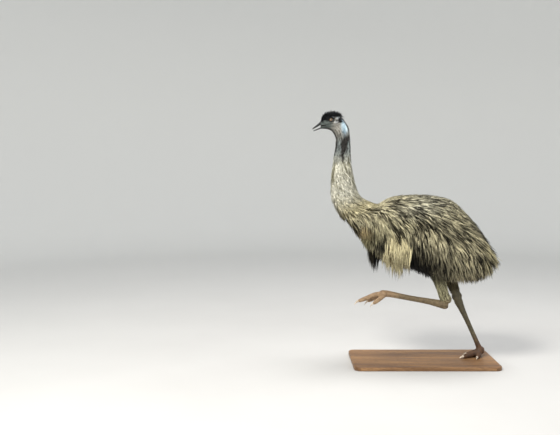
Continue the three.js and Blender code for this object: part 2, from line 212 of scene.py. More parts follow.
def eyeCoordinates(points):
    # Side-view coordinates about the eye's middle, turned by the lids' tilt: along, and up.
    y = points[..., 1] / mm - eyeShape["at"][1]
    z = points[..., 2] / mm - eyeShape["at"][2]
    c, s = math.cos(eyeShape["tilt"]), math.sin(eyeShape["tilt"])
    return y * c + z * s, z * c - y * s


def headRelief(points, normals):
    # Moves the points along their normals by the sum of the head's forms in mm, and draws the sides in
    # where the mouth is open. All of it is the same on both sides of the head.
    y, z = points[..., 1] / mm, points[..., 2] / mm
    along, high = eyeCoordinates(points)
    eyeR = np.hypot(along / eyeShape["openLong"], high / eyeShape["openHigh"])
    earR = oval(points, *earShape["at"], *earShape["size"])
    height = sum(rise * np.exp(-oval(points, *form) ** 2) for rise, *form in headForms.values())
    height += hump(eyeR, *eyeShape["lidFold"]) * smoothStep(-0.5, 0.6, high / eyeShape["openHigh"])
    height += hump(eyeR, *eyeShape["lidGroove"]) + hump(eyeR, *eyeShape["orbit"])
    height += hump(earR, *earShape["rim"])
    for r, (low, up, depth) in ((eyeR, eyeShape["socket"]), (earR, earShape["hole"])):
        height -= depth * fallStep(low, up, r)
    # the gape: a crease that runs from the corner of the mouth back under the eye
    cornerY, cornerZ = mouthShape["corner"]
    lipY, upperZ, lowerZ = mouthShape["lips"]
    back = y - cornerY
    crease = hump(z - cornerZ - mouthShape["creaseRise"] * back, *mouthShape["crease"])
    height += crease * band(back, *mouthShape["creaseEnds"])
    share = np.clip(-back / (cornerY - lipY), 0, 1.2)
    middle = cornerZ + share * ((upperZ + lowerZ) / 2 - cornerZ)
    outside = np.abs(z - middle) - share * (upperZ - lowerZ) / 2
    gap = smoothStep(-0.4, 1.6, -outside) * (share > 0)
    height += hump(outside, *mouthShape["lipRim"]) * (share > 0)
    side = smoothStep(0.25, 0.7, np.abs(normals[..., 0]))
    out = points + normals * (height * side)[..., None] * mm
    first, more = mouthShape["depth"]
    noseTaper = 1 - 0.22 * np.clip(1 - (y + 624) / 9, 0, 1) ** 2
    out[..., 0] *= (1 - (first + more * np.clip(share, 0, 1) ** 2) * gap) * noseTaper
    return out, gap, eyeR, earR


def gridNormals(points):
    # Normals of a grid that closes round its columns, from central differences.
    along = np.gradient(points, axis=0)
    around = (np.roll(points, -1, 1) - np.roll(points, 1, 1)) / 2
    return unit(np.cross(around, along))


# loose folds on the throat and the front of the neck: how high those along and across it are, how many
# there are to a turn or to a station, and where they lie
neckFolds = {
    "lengthwise": (0.7, 9),
    "crosswise": (0.5, 17),
    "front": (0.3, 0.9),
    "ends": ((2.2, 3.4), (5.6, 6.6)),
}
headEnds = (4.0, 4.6)   # places over which the head's relief dies away


def skinSurface(place, angle):
    # The skin on a grid of places and angles: the body's inner surface with the head's relief, and folds
    # that are sums of two sines, each with its own wander.
    points = bodySurface(place, angle, 1.0)
    shaped, gap, eyeR, earR = headRelief(points, gridNormals(points))
    points = points + (shaped - points) * fallStep(*headEnds, place)[..., None]
    below = smoothStep(*neckFolds["front"], -np.cos(angle)) * band(place, *neckFolds["ends"])
    (high, lot), (highAcross, lotAcross) = neckFolds["lengthwise"], neckFolds["crosswise"]
    fold = high * np.sin(lot * angle + 2 * np.sin(place * 3))
    fold += highAcross * np.sin(place * lotAcross + 3 * np.sin(angle * 2))
    points = points + gridNormals(points) * (fold * below * mm)[..., None]
    return points, gap, eyeR, earR


# tables of the skin over places and angles, which the coat is grown by
tableStep = {"place": 0.02, "angle": math.radians(1.5)}
tablePlaces = np.arange(0, lastPlace + 1e-6, tableStep["place"])
tableAngles = np.arange(0, 2 * math.pi - 1e-6, tableStep["angle"])
gridPlaces, gridAngles = np.meshgrid(tablePlaces, tableAngles, indexing="ij")
skinTable, gapTable, eyeTable, earTable = skinSurface(gridPlaces, gridAngles)
flatTable = skinTable.reshape(-1, 3)
outlineTable = bodySurface(gridPlaces, gridAngles, 0.0)
alongTable = np.gradient(skinTable, tableStep["place"], axis=0)
roundTable = (np.roll(skinTable, -1, 1) - np.roll(skinTable, 1, 1)) / (2 * tableStep["angle"])
crossTable = np.cross(roundTable, alongTable)
areaTable = np.linalg.norm(crossTable, axis=-1)
normalTable = unit(crossTable)
depthTable = dot(outlineTable - skinTable, normalTable)


def lookUp(table, place, angle):
    # Bilinear reading of a table, wrapped round the body.
    u = np.clip(place / tableStep["place"], 0, len(tablePlaces) - 1.001)
    v = (angle / tableStep["angle"]) % len(tableAngles)
    i = u.astype(int)
    j = np.minimum(v.astype(int), len(tableAngles) - 1)
    k = (j + 1) % len(tableAngles)
    a = (u - i)[:, None]
    b = (v - j)[:, None]
    here = table[i, j] * (1 - a) + table[i + 1, j] * a
    there = table[i, k] * (1 - a) + table[i + 1, k] * a
    return here * (1 - b) + there * b


# colours, as sRGB 0-255: the dark and the pale strands of each region of the coat and skin
tones = {
    "back": ((28, 24, 12), (222, 216, 190)),
    "flank": ((26, 22, 8), (210, 201, 164)),
    "shoulder": ((34, 28, 12), (218, 209, 174)),
    "neckRoot": ((74, 66, 34), (228, 217, 176)),
    "lowNeck": ((138, 134, 106), (255, 252, 236)),
    "upperNeck": ((18, 24, 21), (192, 200, 198)),
    "nape": ((4, 4, 3), (76, 70, 66)),
    "rump": ((12, 9, 3), (232, 221, 182)),
    # the rump's dark top edge: dark plumes, deepened as painted shade
    "rumpEdge": ((5, 5, 5), (74, 70, 58)),
    "tail": ((20, 17, 8), (228, 216, 170)),
    "thigh": ((22, 18, 7), (214, 204, 168)),
    "wing": ((74, 56, 19), (250, 238, 192)),
    # near black: the belly's dark plumes deepened as painted shade, also painted as shade in gaps, partings
    # and on the shins' tops
    "hem": ((3, 3, 2), (26, 23, 16)),
    "rust": ((110, 84, 48), (214, 186, 134)),
    # painted shade under the breast, darkest on its lower front edge
    "breastShade": ((44, 40, 24), (176, 167, 124)),
    "breastEdgeShade": ((14, 12, 6), (120, 110, 80)),
    "breastTuft": ((5, 5, 3), (52, 45, 29)),
    "crown": ((5, 6, 8), (24, 26, 32)),
    "face": ((34, 41, 40), (98, 107, 101)),
    "bare": ((140, 168, 184), (228, 244, 252)),
    "cheek": ((30, 34, 31), (176, 172, 162)),
    "brow": ((176, 180, 182), (236, 238, 240)),
    "cheekPale": ((92, 86, 78), (226, 222, 212)),
    # near black of the lids, also painted as shade in the gape's crease, the eye's socket and the ear hole
    "lids": ((14, 13, 12), (40, 38, 34)),
    # the mouth's own red, darkened as painted shade in the slit and hollow of the open bill
    "mouth": ((20, 10, 9), (54, 30, 26)),
    # the far leg, shin and foot are the near ones darkened as painted shade; the far foot's red is painted
    # light bounced off the ground
    "leg": ((60, 50, 32), (142, 122, 90)),
    "farLegShaded": ((52, 46, 31), (122, 112, 84)),
    "toe": ((104, 80, 54), (186, 156, 122)),
    "foot": ((48, 30, 18), (112, 78, 50)),
    "shin": ((60, 54, 33), (224, 217, 176)),
    "farShinShaded": ((46, 41, 26), (126, 115, 84)),
}


def linear(tone):
    # sRGB to linear light: ((c + 0.055) / 1.055)^2.4, and c / 12.92 where c is very dark.
    c = np.asarray(tone, float) / 255
    return np.where(c <= 0.04045, c / 12.92, ((c + 0.055) / 1.055) ** 2.4)


def paint(*tone):
    # One sRGB colour as a shader's socket takes it.
    return (*linear(tone), 1)


def plainTints(name, count):
    # A region's dark and pale tone, repeated for each of count points.
    return [np.tile(linear(tone), (count, 1)) for tone in tones[name]]


def layer(tints, name, mask):
    # Lays one region's dark and pale tone over what is there, by the mask's share.
    share = np.clip(mask, 0, 1)[:, None]
    for k, tone in enumerate(tones[name]):
        tints[k] = tints[k] * (1 - share) + linear(tone) * share


def blob(points, y, z, sizeY, sizeZ, soft=0.35):
    # An ellipse in side view, 1 inside and 0 outside, fading over its rim.
    return fallStep(1 - soft, 1 + soft, oval(points, y, z, sizeY, sizeZ))


def headMasks(points, head):
    # Where the head's dark crown, its pale bare patches and its greyer front lie, in side view. The
    # crown's lower edge is a parabola along the head that turns up behind the ear.
    y, z = points[:, 1] / mm, points[:, 2] / mm
    crownLine = 1480 + 0.12 * (y + 560) - 0.0042 * (y + 545) ** 2 + 14 * smoothStep(-512, -496, y)
    overEye = blob(points, -516, 1473, 16, 11) + blob(points, -550, 1480, 13, 6)
    masks = {
        "face": blob(points, -598, 1440, 44, 46),
        "bare": blob(points, -478, 1429, 23, 60, 0.45),
        "brow": np.clip(overEye + 0.6 * blob(points, -530, 1447, 13, 7), 0, 1),
        # the crown's near black also covers the ear hole and its rim as painted shade
        "crown": np.clip(smoothStep(-3, 4, z - crownLine) + blob(points, -512, 1459, 8, 11), 0, 1),
        "lids": blob(points, -560, 1461, 21, 17, 0.2),
    }
    return {name: mask * head for name, mask in masks.items()}


def overThighs(points, shape):
    # The larger of a shape's two values: it is laid about each thigh's middle, on that side of the body.
    found = np.zeros(len(points))
    for side, middle in bodyShape["thighs"].items():
        found = np.maximum(found, shape(*middle) * (side * points[:, 0] > 0))
    return found


def thighMask(points):
    # An ellipse a little below each thigh's middle.
    return overThighs(points, lambda y, z: blob(points, y, z - 20, *bodyShape["thighSize"], 0.25))


def thighShadowArc(points):
    # Painted shadow along the parting over each thigh: the top of an ellipse's rim.
    def arc(y, z):
        # r is 1 on the thigh's edge, and the rim lies a little inside it.
        rim = hump(oval(points, y, z, *bodyShape["thighSize"]), 0.92, 0.07)
        return rim * smoothStep(40, 90, points[:, 2] / mm - z)

    return overThighs(points, arc)


def markingsAndShade(place, angle, points):
    # The bird's markings and the painted shade on it as dark and pale tints, laid region over region in
    # the list's order. u is 1 on the back line, 0 at the side and -1 on the belly line.
    u = np.cos(angle)
    y, z = points[:, 1] / mm, points[:, 2] / mm
    head = fallStep(4.2, 4.8, place)
    belly = fallStep(-0.84, -0.5, u) * (1 - 0.8 * smoothStep(13.8, 15.0, place))
    ragged = 0.35 * np.sin(angle * 11) + 0.25 * np.sin(angle * 29 + place)
    # a dark wedge on each side of the upper neck, wide under the head and drawn out to a point below
    wander = 0.1 * np.sin(place * 9) + 0.07 * np.sin(place * 23)
    fall = np.clip((place - 4.7) / 1.5, 0, 1)
    wedge = smoothStep(-0.12, 0.12, 0.66 - 0.58 * fall - np.abs(u + wander - 0.28 + 0.32 * fall))
    # painted shade along the gape's crease, from the corner of the mouth back under the eye
    gape = hump(z - 0.16 * (y + 572), 1434, 2.6) * band(y, (-574, -566), (-556, -538))
    # painted shade along the underside of the head, and a dark band along its top behind the crown
    edges = np.maximum(smoothStep(0.76, 0.93, -u), smoothStep(0.8, 0.93, u) * smoothStep(2.7, 3.2, place))
    regions = [
        ("flank", fallStep(-0.05, 0.6, u)),
        ("rump", smoothStep(12.4, 14.4, place) * (1 - 0.35 * smoothStep(0.5, 0.95, u))),
        ("tail", smoothStep(15.6, 17.0, place) * fallStep(0.0, 0.7, u)),
        # the rump's dark plumes along its top edge, deepened as painted shade
        ("rumpEdge", 0.82 * band(place, (14.6, 16.0), (16.8, 17.6)) * smoothStep(0.4, 0.7, u)),
        ("thigh", thighMask(points)),
        ("shoulder", fallStep(10.8, 12.4, place - 0.9 * u)),
        ("neckRoot", fallStep(8.8, 10.6, place - 0.5 * u)),
        ("rust", 0.8 * blob(points, -362, 790, 34, 34, 0.6)),
        # painted shade: two patches under the breast's front, and bands down the front edge of the lower neck
        # and breast
        ("breastShade", 0.5 * blob(points, -322, 766, 44, 50, 0.6)),
        ("hem", 0.7 * fallStep(-0.96, -0.86, u) * band(place, (6.8, 8.0), (9.8, 10.8))),
        ("breastShade", 0.7 * blob(points, -364, 730, 32, 44, 0.6)),
        ("breastEdgeShade", 0.8 * fallStep(-0.93, -0.74, u) * band(place, (7.4, 8.6), (10.2, 11.4))),
        # painted shadow along the parting over each thigh
        ("hem", 0.55 * thighShadowArc(points)),
        # painted shade in the gap in front of the thigh, and the belly's black plumes deepened by painted
        # shade
        ("hem", 0.8 * hump(y + 0.06 * (z - 620), -94, 19) * fallStep(700, 780, z)),
        ("hem", belly * smoothStep(11.3, 12.5, place + ragged)),
        ("lowNeck", fallStep(7.6, 9.2, place)),
        ("upperNeck", fallStep(5.4, 6.6, place)),
        ("nape", 0.95 * wedge * band(place, (4.3, 4.75), (6.0, 6.35))),
        ("nape", 0.8 * band(place, (4.0, 4.7), (6.0, 7.2)) * smoothStep(0.86, 0.98, u)),
        # painted shade down the front edge of the throat
        ("nape", 0.9 * fallStep(5.2, 5.8, place) * smoothStep(0.74, 0.92, -u)),
        ("cheek", head),
        ("cheekPale", 0.75 * blob(points, -512, 1406, 20, 28, 0.9) * head),
        *headMasks(points, head).items(),
        # painted shade in the gape's crease
        ("lids", 0.85 * gape * head),
        # painted shade on the head's underside, and the dark band along its top
        ("nape", 0.95 * edges * head),
    ]
    tints = plainTints("back", len(place))
    for name, mask in regions:
        layer(tints, name, mask)
    return tints


def outwardFaces(verts, faces):
    # The triangles, turned round if the volume that they close comes out negative.
    a, b, c = verts[faces[:, 0]], verts[faces[:, 1]], verts[faces[:, 2]]
    return faces[:, ::-1] if (a * np.cross(b, c)).sum() < 0 else faces


def makeMesh(name, verts, faces):
    # One smooth mesh object from arrays of points and triangles.
    faces = outwardFaces(verts, faces)
    mesh = bpy.data.meshes.new(name)
    mesh.vertices.add(len(verts))
    mesh.vertices.foreach_set("co", verts.astype(np.float32).ravel())
    mesh.loops.add(faces.size)
    mesh.loops.foreach_set("vertex_index", faces.astype(np.int32).ravel())
    mesh.polygons.add(len(faces))
    mesh.polygons.foreach_set("loop_start", np.arange(0, faces.size, 3, dtype=np.int32))
    mesh.polygons.foreach_set("use_smooth", np.ones(len(faces), bool))
    mesh.update(calc_edges=True)
    piece = bpy.data.objects.new(name, mesh)
    bpy.context.scene.collection.objects.link(piece)
    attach(piece, "root")
    return piece


def cornerPoints(piece):
    # The point that each corner of the piece's triangles stands on.
    corner = np.zeros(len(piece.data.loops), np.int32)
    piece.data.loops.foreach_get("vertex_index", corner)
    return corner


def setData(piece, name, values, kind="FLOAT_VECTOR", field="vector"):
    # Stores one row of numbers for each point.
    rows = piece.data.attributes.new(name, kind, "POINT")
    rows.data.foreach_set(field, values.astype(np.float32).ravel())


def setTints(piece, tints):
    # Stores each point's dark and pale tint.
    for name, values in zip(("darkTint", "lightTint"), tints):
        opaque = np.concatenate([values, np.ones((len(values), 1))], 1)
        setData(piece, name, opaque, "FLOAT_COLOR", "color")


def gridFaces(rows, columns, closed=False):
    # Two triangles for each cell of a grid that closes round its columns and, if closed, its rows.
    i, j = np.meshgrid(np.arange(rows if closed else rows - 1), np.arange(columns), indexing="ij")
    n, k = (i + 1) % rows, (j + 1) % columns
    a, b, c, d = i * columns + j, i * columns + k, n * columns + k, n * columns + j
    return np.concatenate([np.stack([a, b, c], -1), np.stack([a, c, d], -1)]).reshape(-1, 3)


def closedGrid(points):
    # Points and triangles of a grid that closes round its columns, its two ends drawn to poles.
    rows, columns = points.shape[:2]
    verts = np.concatenate([points.reshape(-1, 3), points[:1].mean(1), points[-1:].mean(1)])
    j = np.arange(columns)
    k = (j + 1) % columns
    first = np.stack([k, j, np.full(columns, rows * columns)], -1)
    j, k = j + (rows - 1) * columns, k + (rows - 1) * columns
    last = np.stack([j, k, np.full(columns, rows * columns + 1)], -1)
    return verts, np.concatenate([gridFaces(rows, columns), first, last])


def joinShells(shells):
    # Several closed shells as one: their points one after the other, and their triangles facing out.
    starts = np.cumsum([0] + [len(verts) for verts, _ in shells])
    faces = [outwardFaces(*shell) + start for shell, start in zip(shells, starts)]
    return np.concatenate([verts for verts, _ in shells]), np.concatenate(faces)


# node helpers
def newMaterial(name, **sockets):
    # A material with values on its shader's own sockets, an underscore standing for a space.
    material = bpy.data.materials.new(name)
    material.use_nodes = True
    tree = material.node_tree
    shader = tree.nodes["Principled BSDF"]
    for socket, value in sockets.items():
        shader.inputs[socket.replace("_", " ")].default_value = value
    return material, tree, shader


def addNode(tree, kind, inputs=None, **settings):
    # A node with its settings, and with each input linked to a socket or set to a value.
    node = tree.nodes.new("ShaderNode" + kind)
    for key, value in settings.items():
        setattr(node, key, value)
    for key, value in (inputs or {}).items():
        if isinstance(value, bpy.types.NodeSocket):
            tree.links.new(value, node.inputs[key])
        else:
            node.inputs[key].default_value = value
    return node


def calculate(tree, operation, a, b=0.0, clamp=False):
    # One sum done on a and b, or on a alone.
    return addNode(tree, "Math", {0: a, 1: b}, operation=operation, use_clamp=clamp).outputs[0]


def times(tree, a, b):
    # a * b
    return calculate(tree, "MULTIPLY", a, b)


def plus(tree, a, b, clamp=False):
    # a + b
    return calculate(tree, "ADD", a, b, clamp)


def minus(tree, a, b):
    # a - b
    return calculate(tree, "SUBTRACT", a, b)


def split(tree, vector):
    # The three parts of a vector.
    return addNode(tree, "SeparateXYZ", {0: vector}).outputs


def combine(tree, x, y, z):
    # A vector from three numbers.
    return addNode(tree, "CombineXYZ", {0: x, 1: y, 2: z}).outputs[0]


def noise(tree, place, scale, detail, distortion=0.0):
    # Noise between 0 and 1 with so many lumps to a metre.
    inputs = {"Vector": place, "Scale": scale, "Detail": detail, "Distortion": distortion}
    return addNode(tree, "TexNoise", inputs).outputs[0]


def mixColour(tree, share, a, b):
    # a * (1 - share) + b * share
    return addNode(tree, "Mix", {0: share, 6: a, 7: b}, data_type="RGBA").outputs[2]


def mapRange(tree, value, fromLow, fromHigh, toLow=0.0, toHigh=1.0):
    # The value carried over from one range to another and held inside it.
    return addNode(tree, "MapRange", {0: value, 1: fromLow, 2: fromHigh, 3: toLow, 4: toHigh}).outputs[0]


def attributeOf(tree, name, output="Vector"):
    # What a piece stores for each of its points under that name.
    return addNode(tree, "Attribute", attribute_name=name).outputs[output]


def objectPlace(tree):
    # The point's place in metres, measured from the object's origin.
    return addNode(tree, "TexCoord").outputs["Object"]


def dress(tree, shader, colour, rough=None, height=None, strength=0.5, depth=0.001):
    # Feeds a colour to the shader, and where given a roughness and a relief so many metres deep.
    tree.links.new(colour, shader.inputs["Base Color"])
    if rough is not None:
        tree.links.new(rough, shader.inputs["Roughness"])
    if height is not None:
        bump = addNode(tree, "Bump", {"Height": height, "Strength": strength, "Distance": depth})
        tree.links.new(bump.outputs[0], shader.inputs["Normal"])


def newGroup(name, inputs, outputs):
    # A node group, its inputs given as kind and starting value and its outputs as kind. Gives the group,
    # the sockets inside it that bring the inputs, and the node that takes the outputs.
    group = bpy.data.node_groups.new(name, "ShaderNodeTree")
    for label, (kind, value) in inputs.items():
        socket = group.interface.new_socket(label, in_out="INPUT", socket_type="NodeSocket" + kind)
        if value is not None:
            socket.default_value = value
    for label, kind in outputs.items():
        group.interface.new_socket(label, in_out="OUTPUT", socket_type="NodeSocket" + kind)
    return group, group.nodes.new("NodeGroupInput").outputs, group.nodes.new("NodeGroupOutput")


def useTints(tree, group, inputs):
    # The group placed in a material, with the piece's dark and pale tints and the given inputs.
    tints = {"Light": attributeOf(tree, "lightTint", "Color"), "Dark": attributeOf(tree, "darkTint", "Color")}
    return addNode(tree, "Group", {**tints, **inputs}, node_tree=group).outputs


def setOutputs(group, outside, **values):
    # Links values to the outputs of a group.
    for label, value in values.items():
        group.links.new(value, outside.inputs[label])


strandShape = {
    "streaks": (5.0, 1.6, 90.0),   # of the noise across a strand, along it and from one strand to the next
    "rootEnd": 0.5,                # share of the way at which the root's shade has gone
    "tipStart": 0.72,
}


def strandGroup():
    # Colour of one strand: between its region's dark and pale tint by the strand's own chance, darker at
    # the root as painted shade near the skin and darker at the tip as the plumes' own dark tips, with long
    # streaks. The height rises and falls with the streaks.
    group, inside, outside = newGroup("strandTone", {
        "Light": ("Color", None),
        "Dark": ("Color", None),
        "Strand": ("Vector", None),
        "Root shade": ("Float", 0.5),
        "Tip shade": ("Float", 0.3),
        "Streaks": ("Float", 0.4),
    }, {"Color": "Color", "Height": "Float"})
    along, chance, across = split(group, inside["Strand"])
    wide, long, apart = strandShape["streaks"]
    place = combine(group, times(group, across, wide), times(group, along, long), times(group, chance, apart))
    streak = noise(group, place, 1.0, 3.0)
    # painted shade near the root, gone by the share rootEnd of the way
    root = times(group, mapRange(group, along, 0.0, strandShape["rootEnd"], 1.0, 0.0), inside["Root shade"])
    tip = times(group, mapRange(group, along, strandShape["tipStart"], 1.0), inside["Tip shade"])
    waves = times(group, minus(group, streak, 0.5), inside["Streaks"])
    share = plus(group, minus(group, minus(group, chance, root), tip), waves, True)
    setOutputs(group, outside, Color=mixColour(group, share, inside["Dark"], inside["Light"]), Height=streak)
    return group


strandTone = strandGroup()


def strandMaterial(name, rootShade, tipShade, streaks, rough):
    # Strands by the shared tone, with how far the root's painted shade, the dark tip and the streaks
    # change it.
    material, tree, shader = newMaterial(name, Roughness=rough, Specular_IOR_Level=0.2)
    tone = useTints(tree, strandTone, {
        "Strand": attributeOf(tree, "strand"),
        "Root shade": rootShade,
        "Tip shade": tipShade,
        "Streaks": streaks,
    })
    dress(tree, shader, tone["Color"], height=tone["Height"])
    return material


# the skin: one mesh over head, neck, trunk and legs
skinShape = {
    "rows": 348,          # rings along the body
    "columns": 160,       # points round a ring
    "headStep": 1.5,      # spacing of the rings on the head, in mm before the rows are shared out
    "eyeStep": 0.85,
    "neckStep": 4.5,
    "bodyStep": 10,
    "eyeColumns": (82, 20, 1.5),   # the columns stand closer here: degrees from the top, width, how much
    "bareEnd": 6.5,       # place at which bare skin gives way to downy skin
    "legVoxel": 2.85,     # edge of the cells that join the legs' parts
    "legSmoothing": 3,
}


def spacedPlaces():
    # Places along the body with the wanted spacing: rows are shared out by the running total of
    # length / spacing.
    length = np.linalg.norm(alongTable, axis=-1).mean(1) * tableStep["place"] / mm
    head, eye, neck, body = (skinShape[key] for key in ("headStep", "eyeStep", "neckStep", "bodyStep"))
    places = [0, 1.0, 1.35, 2.2, 2.6, 4.2, 5, 8.5, 10, lastPlace]
    step = np.interp(tablePlaces, places, [head, head, eye, eye, head, head * 1.3, neck, neck, body, body])
    total = np.cumsum(length / step)
    return np.interp(np.linspace(total[0], total[-1], skinShape["rows"]), total, tablePlaces)


def spacedAngles():
    # Angles round the body, closer at both eyes by the same kind of running total.
    fine = np.linspace(0, 2 * math.pi, 2001)
    fromTop = np.degrees(np.minimum(fine, 2 * math.pi - fine))
    total = np.cumsum(1 + hump(fromTop, *skinShape["eyeColumns"]))
    marks = np.linspace(total[0], total[-1], skinShape["columns"] + 1)[:-1]
    return np.interp(marks, total, fine)


def bodySkin():
    # The body's grid with its markings and painted shade. The front pole is drawn back into the head as
    # the mouth's inside, in the mouth's dark tone as painted shade.
    place, angle = np.meshgrid(spacedPlaces(), spacedAngles(), indexing="ij")
    points, gap, eyeR, earR = skinSurface(place, angle)
    place = place.ravel()
    tints = markingsAndShade(place, angle.ravel(), points.reshape(-1, 3))
    inHead = place < 4.2
    # painted shade in the hollows: the mouth's dark red-brown in the open bill's slit, the lids' near black
    # in the eye's socket and the ear hole
    layer(tints, "mouth", gap.ravel() * inHead)
    layer(tints, "lids", fallStep(0.95, 1.3, eyeR.ravel()) * inHead)
    layer(tints, "lids", fallStep(0.8, 1.3, earR.ravel()) * inHead)
    verts, faces = closedGrid(points)
    verts[-2, 1] += mouthShape["cavity"] * mm
    tints = [np.concatenate([t, linear(dim)[None], t[-1:]]) for t, dim in zip(tints, tones["mouth"])]
    return verts, faces, tints, np.concatenate([place >= skinShape["bareEnd"], [0, 1]])


def tubeRing(path, radius, columns=10):
    # A closed tube round a closed path: path + radius * (cos b * outward + sin b * sideways).
    ahead = unit(np.roll(path, -1, 0) - np.roll(path, 1, 0))
    outward = unit(path - path.mean(0))
    outward = unit(outward - ahead * dot(outward, ahead))
    b = np.linspace(0, 2 * math.pi, columns, endpoint=False)[None, :, None]
    off = outward[:, None] * np.cos(b) + np.cross(ahead, outward)[:, None] * np.sin(b)
    points = path[:, None] + radius[:, None, None] * off
    return points.reshape(-1, 3), gridFaces(len(path), columns, True)


def lidPath(side):
    # A lid's edge: an ellipse in side view with drawn-out corners, laid on a ball just outside the eye.
    t = np.linspace(0, 2 * math.pi, 72, endpoint=False)
    along = eyeShape["openLong"] * np.sign(np.cos(t)) * np.abs(np.cos(t)) ** 0.92
    high = eyeShape["openHigh"] * np.sign(np.sin(t)) * np.abs(np.sin(t)) ** 1.12
    c, s = math.cos(eyeShape["tilt"]), math.sin(eyeShape["tilt"])
    y, z = along * c - high * s, along * s + high * c
    ball = eyeShape["radius"] + 0.7
    x = np.sqrt(np.maximum(ball ** 2 - y ** 2 - z ** 2, 4))
    path = (np.stack([x, y, z], -1) + eyeShape["at"]) * mm
    upper = smoothStep(-0.4, 0.6, np.sin(t))
    radius = eyeShape["lowerLid"] + (eyeShape["upperLid"] - eyeShape["lowerLid"]) * upper
    return path * (side, 1, 1), radius * mm


# the legs: x y z, half width and half depth along each part
legShape = {
    1: {
        "across": (1, 0, 0),
        "shin": ((116, 42, 598, 42, 52), (107, 68, 540, 35, 42), (99, 92, 474, 28, 34),
                 (95, 108, 422, 26, 32), (94, 122, 394, 26, 33), (93, 130, 376, 20, 22)),
        "shank": ((93, 132, 366, 16, 15), (93, 116, 365, 22, 24), (93, 84, 372, 21, 23),
                  (92, 20, 386, 15, 18.5), (91, -70, 402, 14, 16), (89, -150, 417, 15, 16.5),
                  (88, -205, 428, 19, 18), (88, -240, 433, 23, 20)),
        "joint": ((88, -252, 431), (31, 27, 22)),
        "middle": ((88, -250, 430, 17, 17), (86, -300, 424, 16, 15), (84, -352, 404, 14, 13),
                   (83, -398, 387, 12, 11)),
        "inner": ((76, -254, 426, 14, 14), (62, -288, 408, 12.5, 13), (55, -320, 391, 11, 11.5),
                  (52, -340, 381, 9.5, 9.5)),
        "outer": ((100, -250, 424, 14, 14), (114, -278, 404, 12.5, 13), (120, -300, 388, 11, 11.5),
                  (122, -316, 379, 9.5, 9.5)),
        "clawDrop": 14,
        "tones": ("leg", "shin", "toe"),   # of the leg, of its shin and of its toes
        "floor": -1000,
    },
    -1: {
        "across": (1, 0.3, 0),
        "shin": ((-104, 138, 596, 42, 52), (-88, 164, 540, 36, 44), (-71, 190, 468, 29, 35),
                 (-65, 206, 424, 26, 32), (-62, 217, 392, 26, 33), (-60, 224, 370, 20, 24)),
        "shank": ((-61, 220, 380, 21, 23), (-60, 228, 360, 22, 26), (-58, 243, 326, 18, 21),
                  (-56, 271, 265, 14, 16), (-53, 308, 184, 13, 14), (-50, 340, 112, 16, 14.5),
                  (-48, 354, 80, 20, 16)),
        "joint": ((-48, 361, 62), (29, 27, 26)),
        "middle": ((-46, 358, 56, 18, 20), (-24, 317, 45, 17, 18), (-2, 275, 39, 15, 15),
                   (14, 244, 36, 12, 11.5)),
        "inner": ((-40, 358, 54, 15, 18), (-12, 345, 43, 14, 16), (12, 334, 37.5, 12, 13),
                  (30, 326, 35, 9.5, 10)),
        "outer": ((-54, 352, 54, 15, 18), (-60, 322, 43, 14, 16), (-61, 298, 37.5, 12, 13),
                  (-61, 278, 35, 9.5, 10)),
        "clawDrop": 5,
        # painted shade: darker tones than the near leg's, and a painted reddish light bounced off the ground
        # on the foot
        "tones": ("farLegShaded", "farShinShaded", "foot"),
        "floor": 24.3,
    },
}
legSkin = {
    "shinInset": 5,       # the skin lies so far inside the shin's plumes
    "toeTaper": 2.0,      # how much thinner a toe is where its claw begins
    "rows": 10,           # rings for each knot of a part
    "columns": 28,
    "scute": 9,           # length of the plates down the shank and of those on the toes
    "toeScute": 6.5,
    "scuteHeight": 0.55,
    "pad": 1.0,           # height and length of the pads under the toes
    "padLength": 17,
    "tendon": (112, 14, -1.3),   # the grooves beside the tendon: degrees from the front, width, height
    "wrinkle": 0.5,       # of the folds behind the heel
}
partNames = ("shin", "shank", "middle", "inner", "outer")
toeNames = partNames[2:]


def limbFrames(knots, across, t):
    # Middle, width and depth directions, the two half sizes and the way ahead along a smooth path of
    # knots. The width is the part of across that stands square to the path.
    k = splineAt(knots, t)
    ahead = unit(splineAt(knots, t + 0.03)[..., :3] - splineAt(knots, t - 0.03)[..., :3])
    across = np.broadcast_to(np.array(across, float), ahead.shape)
    width = unit(across - ahead * dot(across, ahead))
    return k[..., :3] * mm, width, np.cross(width, ahead), k[..., 3] * mm, k[..., 4] * mm, ahead


def limbSurface(knots, across, t, angle, grow=0.0):
    # Middle - depth * deep * cos + width * half * sin: angle 0 is the front of the leg or the toe's top.
    middle, width, depth, half, deep, _ = limbFrames(knots, across, t)
    front = depth * ((deep + grow) * np.cos(angle))[..., None]
    return middle - front + width * ((half + grow) * np.sin(angle))[..., None]


def looseMesh(shells, voxel):
    # Joins closed shells into one surface on a grid of small cells, and gives its points and triangles.
    verts, faces = joinShells(shells)
    mesh = bpy.data.meshes.new("legShells")
    mesh.from_pydata(verts.tolist(), [], faces.tolist())
    holder = bpy.data.objects.new("legShells", mesh)
    bpy.context.scene.collection.objects.link(holder)
    remesh = holder.modifiers.new("join", "REMESH")
    remesh.mode = "VOXEL"
    remesh.voxel_size = voxel
    done = holder.evaluated_get(bpy.context.evaluated_depsgraph_get())
    joined = done.to_mesh()
    joined.calc_loop_triangles()
    points = np.empty(len(joined.vertices) * 3)
    joined.vertices.foreach_get("co", points)
    triangles = np.empty(len(joined.loop_triangles) * 3, np.int32)
    joined.loop_triangles.foreach_get("vertices", triangles)
    done.to_mesh_clear()
    bpy.data.objects.remove(holder)
    bpy.data.meshes.remove(mesh)
    return points.reshape(-1, 3), triangles.reshape(-1, 3)


